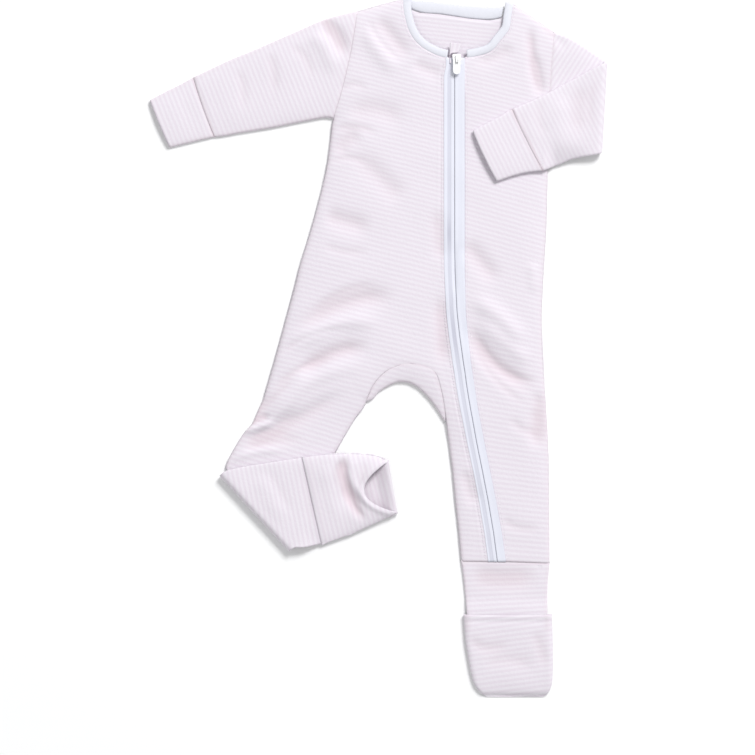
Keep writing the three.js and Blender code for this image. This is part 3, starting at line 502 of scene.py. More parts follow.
LAY = Lay()
FOLDED_RELIEF = Relief(FOLDED_CREASES)


@dataclass(frozen=True)
class Fold:
    """Turns the cloth beyond a line back over itself.

    Attributes:
        origin: A point of the line, in mm.
        facing: Direction from the line to the cloth that stays.
        sink: A point and outward direction of the edge of the cloth below.
        sink_from: The fold sinks past that edge only from this x on.
    """

    origin: tuple[float, float]
    facing: tuple[float, float]
    sink: tuple[float, float, float, float]
    sink_from: float

    def beyond(self, flat: Array) -> Array:
        """How far flat places lie beyond the line, negative on the side that stays."""
        return -((flat - np.array(self.origin)) @ np.array(self.facing))

    def apply(self, points: Array) -> Array:
        """Folds points.

        Args:
            points: Flat x, y and height, N by 3, in mm.

        Returns:
            The folded points.
        """
        n = np.array(self.facing)
        d = self.beyond(points[:, :2])
        h = points[:, 2]
        out = points.copy()
        line = points[:, :2] + d[:, None] * n
        bend = (d > 0) & (d < FOLD_ARC)
        turn = np.pi * d[bend] / FOLD_ARC
        r = FOLD_RADIUS - h[bend]
        out[bend, :2] = line[bend] - (r * np.sin(turn))[:, None] * n
        out[bend, 2] = FOLD_RADIUS - r * np.cos(turn)
        over = d >= FOLD_ARC
        if over.any():
            back = d[over] - FOLD_ARC
            place = line[over] + back[:, None] * n
            out[over, :2] = place
            outward = (place - np.array(self.sink[:2])) @ np.array(self.sink[2:])
            held = 1 - smooth((outward + 4) / OVERHANG) * smooth((place[:, 0] - self.sink_from) / 12)
            base = held * (EDGE_TOP + LAY.rise(place) + 0.3 + LAYER_GAP)
            lift = base + LAY.top(points[over, :2], plain=True) - h[over]
            t = smooth(back / FOLD_SETTLE)
            z = (1 - t) * (2 * FOLD_RADIUS - h[over]) + t * lift
            shown = np.clip(1 - h[over] / EDGE_TOP, 0, 1) * smooth(back / 10)
            out[over, 2] = z + (FOLDED_RELIEF.at(place) + LAY.unevenness(place)) * shown
        return out


LEG_FOLD = Fold((-136.27, -111.37), (0.7363, 0.6766), (-52, -128, 0.905, -0.426), -400)
SLEEVE_FOLD = Fold((202.46, 257.68), (-0.9984, 0.0564), (153.5, 187, -0.179, -0.984), 150)


@dataclass(frozen=True)
class Stripes:
    """Where the stripes run on a piece as it lies flat.

    Attributes:
        angles: y in mm and the stripes' angle to +X there in degrees, from the foot up.
        pivot: x at which the repeat is true.
        stretch: How far the cloth is drawn out across the stripes.
        beyond: The angles past the inner leg, where they differ.
        stretches: y in mm and how far the cloth is drawn out there, from the foot up.
    """

    angles: Rows
    pivot: float = 0.0
    stretch: float = 1.0
    beyond: Rows | None = None
    stretches: Rows | None = None

    def slope(self, x: Array, y: Array) -> Array:
        """Rise of the stripes.

        Args:
            x: Flat x in mm.
            y: Flat y in mm.

        Returns:
            The rise for each mm along.
        """
        here = np.tan(np.radians(np.interp(y, *np.array(self.angles, float).T)))
        if self.beyond is None:
            return here
        there = np.tan(np.radians(np.interp(y, *np.array(self.beyond, float).T)))
        return here + (there - here) * smooth((x - 20) / 45)

    def coordinates(self, flat: Array) -> Array:
        """Pattern coordinates.

        Args:
            flat: Flat places, N by 2, in mm.

        Returns:
            Distance along and across the stripes, N by 2, in mm.
        """
        x, y = flat.T
        steps = 16
        part = (x - self.pivot) / steps
        fall = sum(self.slope(self.pivot + part * (k + 0.5), y) for k in range(steps)) * part
        level = math.cos(math.radians(self.angles[0][1]))
        across = y - fall
        if self.stretches is not None:
            ladder = np.arange(-320.0, 400.0, 4.0)
            drawn = np.interp(ladder, *np.array(self.stretches, float).T)
            across = np.interp(across, ladder, np.cumsum(4.0 / drawn))
        return np.stack([x / level, across * level / self.stretch], axis=1)


@dataclass(frozen=True)
class Slant(Stripes):
    """Straight stripes at one steep angle."""

    def coordinates(self, flat: Array) -> Array:
        """Pattern coordinates.

        Args:
            flat: Flat places, N by 2, in mm.

        Returns:
            Distance along and across the stripes, N by 2, in mm.
        """
        a = math.radians(self.angles[0][1])
        along = flat[:, 0] * math.cos(a) + flat[:, 1] * math.sin(a)
        across = -flat[:, 0] * math.sin(a) + flat[:, 1] * math.cos(a)
        return np.stack([along, across / self.stretch], axis=1)


LEG_ANGLES: Rows = ((-190, -4.5), (-130, -6.5), (-36, -11.6), (90, -16), (220, -14), (300, -13))
BODY_STRETCHES: Rows = ((-150, 1.07), (-60, 1.03), (40, 1.02), (150, 0.96), (200, 0.92), (300, 0.92))
BODY_STRIPES = Stripes(
    ((-190, -16), (-68, -17), (-27, -13.4), (45, -13.6), (220, -14), (300, -14)), -20.0, beyond=LEG_ANGLES,
    stretches=BODY_STRETCHES,
)
BACK_STRIPES = Stripes(
    ((-190, -16), (-68, -16.5), (45, -13), (240, -7), (300, -6.3)), 0.0,
    stretches=((-150, 1.0), (220, 1.0), (270, 0.83), (320, 0.83)),
)
LEFT_LEG_STRIPES = Stripes(LEG_ANGLES, 115.0, 1.02, stretches=BODY_STRETCHES)
SLEEVE_RIGHT_STRIPES = Slant(((0, -68.4),), stretch=0.98)
SLEEVE_LEFT_STRIPES = Slant(((0, 57.5),), stretch=0.94)
CUFF_LEG_STRIPES = Stripes(((-250, 4.5), (-195, 1.0)), 115.0, 1.05)
COVER_STRIPES = Slant(((0, 7.6),), stretch=1.06)
COVER_RIGHT_STRIPES = Slant(((0, -18.6),))


@dataclass
class Surface:
    """A mesh in the making.

    Attributes:
        points: Places, N by 3, in mm.
        faces: Corner numbers of each face.
        pattern: Pattern coordinates of each point, N by 2, in mm.
        seam: How much shade is painted at each point, from 0 to 1.
    """

    points: Array
    faces: list[tuple[int, ...]]
    pattern: Array
    seam: Array

    @classmethod
    def blocks(cls, points: Array, faces: Rows) -> "Surface":
        """Many small bodies of eight corners each.

        Args:
            points: The corners of one body after the other, N by 3, in mm.
            faces: The faces of one body.

        Returns:
            The surface.
        """
        every = [tuple(8 * i + j for j in f) for i in range(len(points) // 8) for f in faces]
        return cls(points, every, points[:, :2], np.zeros(len(points)))


def hermite(rows: Array, spacing: float, fine: Sequence[int] = (), straight: int = 0) -> Array:
    """Rows in between, on a smooth curve through the rows of a table.

    Args:
        rows: The table, R by C; the first four columns are x, y, x, y.
        spacing: Distance aimed at between rows, in mm.
        fine: Stretches with closer rows, by the number of their first row.
        straight: Stretches at the start that stay straight.

    Returns:
        The denser table.
    """
    step = (np.hypot(*(rows[1:, :2] - rows[:-1, :2]).T) + np.hypot(*(rows[1:, 2:4] - rows[:-1, 2:4]).T)) / 2
    step = np.maximum(step, 1e-6)
    slope = (rows[1:] - rows[:-1]) / step[:, None]
    tangent = np.empty_like(rows)
    tangent[0], tangent[-1] = slope[0], slope[-1]
    w = (step[1:] / (step[1:] + step[:-1]))[:, None]
    tangent[1:-1] = slope[:-1] * w + slope[1:] * (1 - w)
    out = []
    for i, length in enumerate(step):
        count = max(1, round(length / (FINE_SPACING if i in fine else spacing)))
        for t in np.arange(count) / count:
            t2, t3 = t * t, t**3
            if i < straight:
                out.append(rows[i] + (rows[i + 1] - rows[i]) * t)
                continue
            out.append(
                (2 * t3 - 3 * t2 + 1) * rows[i]
                + (t3 - 2 * t2 + t) * length * tangent[i]
                + (3 * t2 - 2 * t3) * rows[i + 1]
                + (t3 - t2) * length * tangent[i + 1]
            )
    return np.array([*out, rows[-1]])


def grid_faces(rows: int, columns: int, closed: bool = False) -> list[tuple[int, int, int, int]]:
    """Faces of a grid of points.

    Args:
        rows: Number of rows.
        columns: Points in each row.
        closed: The rows are rings.

    Returns:
        The corners of each face.
    """
    last = columns if closed else columns - 1
    return [
        (i * columns + j, (i + 1) * columns + j, (i + 1) * columns + (j + 1) % columns,
         i * columns + (j + 1) % columns)
        for i in range(rows - 1)
        for j in range(last)
    ]


def add_object(name: str, data: ID) -> Object:
    """Puts an object in the scene.

    Args:
        name: Its name.
        data: Its mesh, light or camera.

    Returns:
        The object.
    """
    made = bpy.data.objects.new(name, data)
    bpy.context.scene.collection.objects.link(made)
    return made


def mesh_object(name: str, surface: Surface, material: Material) -> Object:
    """Makes an object from a surface.

    Args:
        name: Name of the piece.
        surface: Its points, faces and pattern.
        material: Its finish.

    Returns:
        The new object, in the shared frame.
    """
    moved = (surface.points - np.array([*MIDDLE, 0.0])) * METRE
    mesh = bpy.data.meshes.new(name)
    mesh.from_pydata(moved.tolist(), [], surface.faces)
    mesh.update()
    mesh.polygons.foreach_set("use_smooth", np.ones(len(mesh.polygons), bool))
    corners = np.empty(len(mesh.loops), np.int32)
    mesh.loops.foreach_get("vertex_index", corners)
    layer = mesh.uv_layers.new(name="cloth")
    layer.data.foreach_set("uv", (surface.pattern[corners] / PATTERN_MM).astype(np.float32).ravel())
    # Painted shade: how much shade each point gets, for the materials to mix into their colour
    seam = mesh.attributes.new("seam", "FLOAT", "POINT")
    seam.data.foreach_set("value", surface.seam.astype(np.float32))
    mesh.materials.append(material)
    return add_object(name, mesh)


Number = Union["Term", float]


@dataclass(frozen=True)
class Term:
    """A shader socket that takes part in arithmetic.

    Attributes:
        graph: The graph it is in.
        socket: The output socket.
    """

    graph: "Graph"
    socket: NodeSocket

    def __add__(self, other: Number) -> "Term":
        """Adds a number or term."""
        return self.graph.math("ADD", self, other)

    def __radd__(self, other: Number) -> "Term":
        """Adds to a number."""
        return self.graph.math("ADD", other, self)

    def __sub__(self, other: Number) -> "Term":
        """Subtracts a number or term."""
        return self.graph.math("SUBTRACT", self, other)

    def __rsub__(self, other: Number) -> "Term":
        """Subtracts from a number."""
        return self.graph.math("SUBTRACT", other, self)

    def __mul__(self, other: Number) -> "Term":
        """Multiplies by a number or term."""
        return self.graph.math("MULTIPLY", self, other)

    def __rmul__(self, other: Number) -> "Term":
        """Multiplies a number."""
        return self.graph.math("MULTIPLY", other, self)


@dataclass
class Graph:
    """A material's nodes.

    Attributes:
        material: The material.
        shader: Its Principled BSDF.
    """

    material: Material
    shader: Node = field(init=False)

    def __post_init__(self) -> None:
        """Finds the shader that a new material has."""
        self.material.use_nodes = True
        self.shader = self.material.node_tree.nodes["Principled BSDF"]

    def node(
        self, kind: str, settings: dict[str, object] | None = None, inputs: dict[str, object] | None = None
    ) -> Node:
        """Adds a node.

        Args:
            kind: Its type.
            settings: Its properties.
            inputs: Values or terms for its inputs, by name.

        Returns:
            The node.
        """
        made = self.material.node_tree.nodes.new(kind)
        for key, value in (settings or {}).items():
            setattr(made, key, value)
        for key, value in (inputs or {}).items():
            self.feed(made.inputs[key], value)
        return made

    def feed(self, socket: NodeSocket, value: object) -> None:
        """Links a term to an input, or sets it.

        Args:
            socket: The input.
            value: A term or a plain value.
        """
        if isinstance(value, Term):
            self.material.node_tree.links.new(value.socket, socket)
        else:
            socket.default_value = value

    def term(self, made: Node, output: str | int = 0) -> Term:
        """A node's output, by name or number, as a term."""
        return Term(self, made.outputs[output])

    def math(self, operation: str, *values: Number, clamp: bool = False) -> Term:
        """Arithmetic.

        Args:
            operation: A Math node's operation.
            values: Its inputs.
            clamp: Keep the result in 0..1.

        Returns:
            The result.
        """
        made = self.node("ShaderNodeMath", {"operation": operation, "use_clamp": clamp})
        for socket, value in zip(made.inputs, values):
            self.feed(socket, value)
        return self.term(made)

    def colour(self, factor: Number, first: object, second: object) -> Term:
        """Mixes two colours.

        Args:
            factor: Share of the second.
            first: Colour or term.
            second: Colour or term.

        Returns:
            The mixed colour.
        """
        made = self.node("ShaderNodeMix", {"data_type": "RGBA", "clamp_factor": True})
        for index, value in ((0, factor), (6, first), (7, second)):
            self.feed(made.inputs[index], value)
        return self.term(made, 2)

    def noise(self, vector: Term, scale: float, detail: float = 2.0) -> Term:
        """Noise between 0 and 1, read at a vector."""
        made = self.node("ShaderNodeTexNoise", inputs={"Vector": vector, "Scale": scale, "Detail": detail})
        return self.term(made, "Fac")

    def bump(self, height: Term, distance: float, strength: float) -> None:
        """Raises the surface by a height, of which 1 stands for the distance in metres."""
        inputs = {"Height": height, "Distance": distance, "Strength": strength}
        made = self.node("ShaderNodeBump", inputs=inputs)
        self.feed(self.shader.inputs["Normal"], self.term(made, "Normal"))

    def constants(self, values: dict[str, object]) -> None:
        """Sets the shader's inputs that are the same all over."""
        for key, value in values.items():
            self.feed(self.shader.inputs[key], value)

    def cloth(self) -> tuple[Term, Node, Term]:
        """Reads what the points of a cloth carry.

        Returns:
            The pattern coordinates, the node that parts them, and the painted shade.
        """
        place = self.term(self.node("ShaderNodeUVMap", {"uv_map": "cloth"}))
        parts = self.node("ShaderNodeSeparateXYZ", inputs={"Vector": place})
        seam = self.term(self.node("ShaderNodeAttribute", {"attribute_name": "seam"}), "Fac")
        return place, parts, seam


@dataclass(frozen=True)
class StripedJersey:
    """Fine striped cotton jersey.

    Attributes:
        name: Name of the material.
        ground: The light stripe's colour.
        stripe: The tinted stripe's colour.
        shadow: Colour of the shade painted in the seams and folds and near the outer edges.
        pitch: One repeat, in mm.
        loop: Width of a loop of the knit, in mm.
        course: Height of a course of the knit, in mm.
        relief: How far the knit stands up, in metres.
    """

    name: str
    ground: Colour = (0.777, 0.735, 0.79, 1.0)
    stripe: Colour = (0.739, 0.676, 0.745, 1.0)
    shadow: Colour = (0.59, 0.41, 0.45, 1.0)
    pitch: float = 4.2
    loop: float = 0.9
    course: float = 0.7
    relief: float = 0.00035

    def build(self) -> Material:
        """Makes the material.

        Returns:
            The material.
        """
        g = Graph(bpy.data.materials.new(self.name))
        place, parts, seam = g.cloth()
        across = g.term(parts, "Y") * PATTERN_MM
        waver = (g.noise(place, 2.2) - 0.5) * 0.7
        wave = g.math("SINE", (across + waver) * (TURN / self.pitch))
        band = g.math("MULTIPLY_ADD", wave, 1.1, 0.5, clamp=True)
        fade = 0.75 + 0.35 * g.noise(place, 1.1)
        base = g.colour(band * fade, self.ground, self.stripe)
        knit = g.math("SINE", g.term(parts, "X") * (PATTERN_MM * TURN / self.loop))
        course = g.math("SINE", across * (TURN / self.course))
        g.bump(0.12 * knit * course + 1.2 * g.noise(place, 34.0, 3.0), self.relief, 0.5)
        # Painted shade: the stripes are drawn towards the shadow colour by how much shade is painted at
        # each point
        g.feed(g.shader.inputs["Base Color"], g.colour(seam * 0.42, base, self.shadow))
        g.constants({"Roughness": 0.9, "Specular IOR Level": 0.15})
        g.constants({"Sheen Weight": 0.25, "Sheen Roughness": 0.6})
        return g.material


@dataclass(frozen=True)
class PlainCloth:
    """Plain rib or woven tape.

    Attributes:
        name: Name of the material.
        colour: Its colour.
        rib: Width of a rib in mm.
        depth: How deep the ribs are, in metres.
        shadow: Colour of the shade painted in the seams and folds.
    """

    name: str
    colour: Colour
    rib: float
    depth: float
    shadow: Colour = (0.48, 0.48, 0.57, 1.0)

    def build(self) -> Material:
        """Makes the material.

        Returns:
            The material.
        """
        g = Graph(bpy.data.materials.new(self.name))
        place, parts, seam = g.cloth()
        rib = g.math("SINE", g.term(parts, "Y") * (PATTERN_MM * TURN / self.rib))
        g.bump(0.5 + 0.5 * rib + 0.5 * g.noise(place, 60.0), self.depth, 0.6)
        # Painted shade: the colour is drawn towards the shadow colour by how much shade is painted at each
        # point
        g.feed(g.shader.inputs["Base Color"], g.colour(seam * 0.5, self.colour, self.shadow))
        g.constants({"Roughness": 0.85, "Specular IOR Level": 0.2, "Sheen Weight": 0.15})
        return g.material


@dataclass(frozen=True)
class Hard:
    """Lacquered metal, moulded plastic or sewing thread.

    Attributes:
        name: Name of the material.
        colour: Its colour.
        roughness: Its roughness.
        coat: Its clear coat.
        speck: Colour of its faint specks.
    """

    name: str
    colour: Colour
    roughness: float
    coat: float = 0.0
    speck: Colour = (0.6, 0.6, 0.62, 1.0)

    def build(self) -> Material:
        """Makes the material.

        Returns:
            The material.
        """
        g = Graph(bpy.data.materials.new(self.name))
        specks = g.noise(g.term(g.node("ShaderNodeTexCoord"), "Object"), 900.0)
        g.feed(g.shader.inputs["Base Color"], g.colour(specks * 0.08, self.colour, self.speck))
        g.feed(g.shader.inputs["Roughness"], self.roughness + (specks - 0.5) * 0.1)
        g.constants({"Coat Weight": self.coat})
        return g.material


@dataclass
class Finishes:
    """Every finish of the garment."""

    jersey: Material = field(default_factory=StripedJersey("jersey").build)
    binding: Material = field(
        default_factory=PlainCloth("rib_binding", (0.755, 0.76, 0.825, 1.0), 1.1, 0.0002).build
    )
    tape: Material = field(
        default_factory=PlainCloth("zip_tape", (0.755, 0.765, 0.85, 1.0), 0.9, 0.0001).build
    )
    teeth: Material = field(default_factory=Hard("zip_teeth", (0.62, 0.62, 0.68, 1.0), 0.6).build)
    lacquer: Material = field(default_factory=Hard("zip_lacquer", (0.95, 0.95, 0.95, 1.0), 0.25, 0.4).build)
    thread: Material = field(default_factory=Hard("thread", (0.86, 0.83, 0.88, 1.0), 0.8).build)


@dataclass(frozen=True)
class Cut:
    """The flat cut of a sheet of cloth.

    Attributes:
        width: Width in metres.
        length: Length in metres.
        area: Area in square metres, where it isn't a rectangle.
        held: How it is held.
        rests_on: What it lies on.
    """

    width: float
    length: float
    area: float | None = None
    held: Held = Held.LAID
    rests_on: tuple[str, ...] = ()

    def declare(self, piece: Object) -> None:
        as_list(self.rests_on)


def seam_nearness(flat: Array, reach: float = 1.1) -> Array:
    """How close places lie to seams.

    Args:
        flat: Places, N by 2.
        reach: How far out from the seams it is felt, in mm.

    Returns:
        The weight of the seams on it, fading to 0.
    """
    total = np.zeros(len(flat))
    for line, weight in SEAMS:
        d, _ = nearest(flat, np.array(line, float))
        total = np.maximum(total, weight * bell(d / reach))
    return total


def shade(flat: Array) -> Array:
    """Painted shade on the cloth: along seams, in the troughs of creases and wrinkles, and close to its
    outer edges.

    Args:
        flat: Places, N by 2.

    Returns:
        Values from 0 to 1.
    """
    # Painted shade in the troughs of creases and wrinkles, and near the outer edges where the cloth turns
    # down
    trough = np.clip(-LAY.relief.at(flat) / 2.4 - LAY.wrinkles.at(flat) / 1.2, 0, 1.3) * 0.5
    return np.maximum(seam_nearness(flat), trough + 0.25 * (1 - smooth(LAY.edge_distance(flat) / 5)))


def folded_shade(fold: Fold, flat: Array, weight: Array) -> Array:
    """Painted shade on cloth that lies turned over: in the troughs of its folds.

    Args:
        fold: The fold that it goes through.
        flat: Flat places, N by 2.
        weight: How far each place shows, from 0 to 1.

    Returns:
        Values from 0 to 1.
    """
    back = fold.beyond(flat) - FOLD_ARC
    place = flat + (2 * back + FOLD_ARC)[:, None] * np.array(fold.facing)
    return np.clip(-FOLDED_RELIEF.at(place) / 2.6, 0, 1.2) * 0.7 * (back > 0) * weight


def seam_dip(flat: Array) -> Array:
    """How far seams draw the cloth down at flat places, in mm."""
    return SEAM_DIP * seam_nearness(flat, DIP_REACH)


def rim_roll(from_rim: Array) -> Array:
    """How far the open foot's edge rolls outwards at distances from its rim, in mm."""
    return 1.3 * bell((from_rim - 3.2) / 2.6)


def bowed(first: Array, second: Array, shares: Array, bow: Array | float) -> Array:
    """Places on lines from one edge to the other, bowed to the right of their run.

    Args:
        first: Starts of the lines, R by 2.
        second: Ends of the lines, R by 2.
        shares: Shares of the way across, C of them.
        bow: How far the lines stand off at mid-way, R by C or R by 1.

    Returns:
        Places, R by C by 2.
    """
    along = (second - first)[:, None]
    width = np.maximum(np.hypot(along[..., 0], along[..., 1]), 1e-6)
    normal = np.stack([along[..., 1], -along[..., 0]], -1) / width[..., None]
    off = (4 * shares * (1 - shares))[None, :] * bow
    return first[:, None] + along * shares[None, :, None] + normal * off[..., None]


def rim(section: Row, column: int) -> Array:
    """The rim of a tube's last section.

    Args:
        section: Two places and the bows of the lower and of the upper layer.
        column: Column of the bow.

    Returns:
        Its points.
    """
    s = np.array(section, float)
    return bowed(s[None, :2], s[None, 2:4], np.linspace(0, 1, 25), s[column])[0]


def rounded_shares(count: int) -> Array:
    """Shares of the way across, one more than the stretches, closer at both ends."""
    return (1 - np.cos(np.pi * np.arange(count + 1) / count)) / 2


def panel_grid(
    rows: Rows, shares: Array | int, spacing: float, fine: Sequence[int] = (), straight: int = 0
) -> Array:
    """Flat places between the two edges of a table.

    Args:
        rows: The table; a fifth column bows the row.
        shares: Shares of the way across, or the number of even ones.
        spacing: Distance aimed at between rows.
        fine: Stretches with closer rows.
        straight: Stretches at the start that stay straight.

    Returns:
        Places, R by C by 2.
    """
    if isinstance(shares, int):
        shares = np.linspace(0, 1, shares)
    table = np.array([(*r[:4], r[4] if len(r) == 5 else 0.0) for r in rows], float)
    dense = hermite(table, spacing, fine, straight)
    return bowed(dense[:, :2], dense[:, 2:4], shares, dense[:, 4:5])


def joined(split: float, first: int, second: int) -> Array:
    """Shares across a row in two groups that meet at a split.

    Args:
        split: Where they meet.
        first: Stretches before it.
        second: Stretches after it.

    Returns:
        The shares.
    """
    return np.concatenate([np.linspace(0, split, first + 1), np.linspace(split, 1, second + 1)[1:]])


WELD_STEPS = 500  # steps for each mm, within which places are one
WELD_SHIFT = 0.137  # keeps round sizes off the steps' borders


def weld(grids: Sequence[Array]) -> tuple[Array, list[tuple[int, ...]]]:
    """Joins grids of flat places where they meet.

    Args:
        grids: Grids, each R by C by 2.

    Returns:
        The places and the faces.
    """
    places = np.concatenate([g.reshape(-1, 2) for g in grids])
    faces: list[tuple[int, ...]] = []
    offset = 0
    for g in grids:
        faces += [tuple(i + offset for i in f) for f in grid_faces(g.shape[0], g.shape[1])]
        offset += g.shape[0] * g.shape[1]
    _, first, back = np.unique(
        np.round(places * WELD_STEPS + WELD_SHIFT).astype(np.int64), axis=0, return_index=True,
        return_inverse=True,
    )
    back = back.ravel()
    kept = []
    for f in faces:
        corners = tuple(dict.fromkeys(int(back[i]) for i in f))
        if len(corners) > 2:
            kept.append(corners)
    return places[first], kept


def settle(piece: Object, node: str, slot: str, cut: Cut | None) -> Object:
    """Puts a finished piece in the frame.

    Args:
        piece: The piece.
        node: CAD node that it replaces, or an empty string.
        slot: Not used.
        cut: Its flat cut, for cloth.

    Returns:
        The piece.
    """
    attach(piece, "pull_tab" if node == "zip_pull" else "garment")
    if node:
        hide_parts(node)
    if cut:
        cut.declare(piece)
    LOG.info("%s: %d faces", piece.name, len(piece.data.polygons))
    return piece


@dataclass
class Sheet:
    """What each piece of cloth states.

    Attributes:
        node: CAD node that it replaces and is named after.
        finish: Its material.
        cut: Its flat cut.
        fold: The fold that it goes through.
        wall: Its thickness in mm, inwards.
        slot: Its material slot.
        ending: End of its name.
    """

    node: str
    finish: Material
    cut: Cut
    fold: Fold | None = None
    wall: float = SHOWN_WALL
    slot: str = "jersey"
    ending: str = "cloth"

    def make(self, surface: Surface, upper: Array | None = None, side: Side = Side.UP) -> Object:
        """Turns a surface the right way out, folds it and makes the piece.

        Args:
            surface: The surface as it lies flat.
            upper: Whether each point is on the upper layer, for cloth in two layers.
            side: Way that the outer side of the upper layer faces.

        Returns:
            The piece, riding on the garment.
        """
        lead = [f for f in surface.faces if upper is None or upper[list(f)].all()]
        a, b, c = (surface.points[[f[k] for f in lead]] for k in range(3))
        if np.cross(b - a, c - a)[:, 2].sum() * side.value < 0:
            surface.faces = [f[::-1] for f in surface.faces]
        if self.fold:
            surface.points = self.fold.apply(surface.points)
        piece = mesh_object(f"{self.node}_{self.ending}", surface, self.finish)
        shell = piece.modifiers.new("cloth", "SOLIDIFY")
        shell.thickness = self.wall * METRE
        shell.offset = -1.0
        shell.use_even_offset = False
        return settle(piece, self.node, self.slot, self.cut)


@dataclass
class Panel:
    """A flat panel of cloth.

    Attributes:
        sheet: What it states.
        grids: Flat places, joined where they meet.
        height: Height of its outer side at flat places.
        stripes: Lay of the pattern.
        side: Way its outer side faces.
        turn_down: Bring the outer edges down to the layer below.
        shading: Painted shade on it at flat places.
        edge_drop: How far they come down, in mm.
        edge_width: How wide they are, in mm.
    """

    sheet: Sheet
    grids: Sequence[Array]
    height: Height
    stripes: Stripes
    side: Side = Side.UP
    turn_down: bool = False
    shading: Height = shade
    edge_drop: float = 1.15
    edge_width: float = 3.2

    def build(self) -> Object:
        """Makes the piece.

        Returns:
            The piece.
        """
        flat, faces = weld(self.grids)
        z = self.height(flat)
        if self.turn_down:
            turn = round_off(LAY.edge_distance(flat) / self.edge_width)
            z = z - self.edge_drop * (1 - turn) - seam_dip(flat)
        # Painted shade: along seams, in the troughs of folds and near the outer edges
        seam = self.shading(flat)
        if self.side is Side.DOWN:
            shown = folded_shade(self.sheet.fold, flat, np.ones(len(flat)))
            seam = np.maximum(seam_nearness(flat) * 0.5, shown)
        surface = Surface(np.column_stack([flat, z]), faces, self.stripes.coordinates(flat), seam)
        return self.sheet.make(surface, side=self.side)


@dataclass(frozen=True)
class Rings:
    """The points of a tube as it lies flat, one section after the other.

    Attributes:
        dense: The sections.
        places: Flat places, N by 2.
        up: Whether they are on the upper layer.
        edge_gap: Their distances to the tube's edges, in mm.
    """

    dense: Array
    places: Array
    up: Array
    edge_gap: Array

    def from_rim(self, column: int) -> Array:
        """Distances to the rim of the lower or the upper layer."""
        return nearest(self.places, rim(self.dense[-1], column))[0]


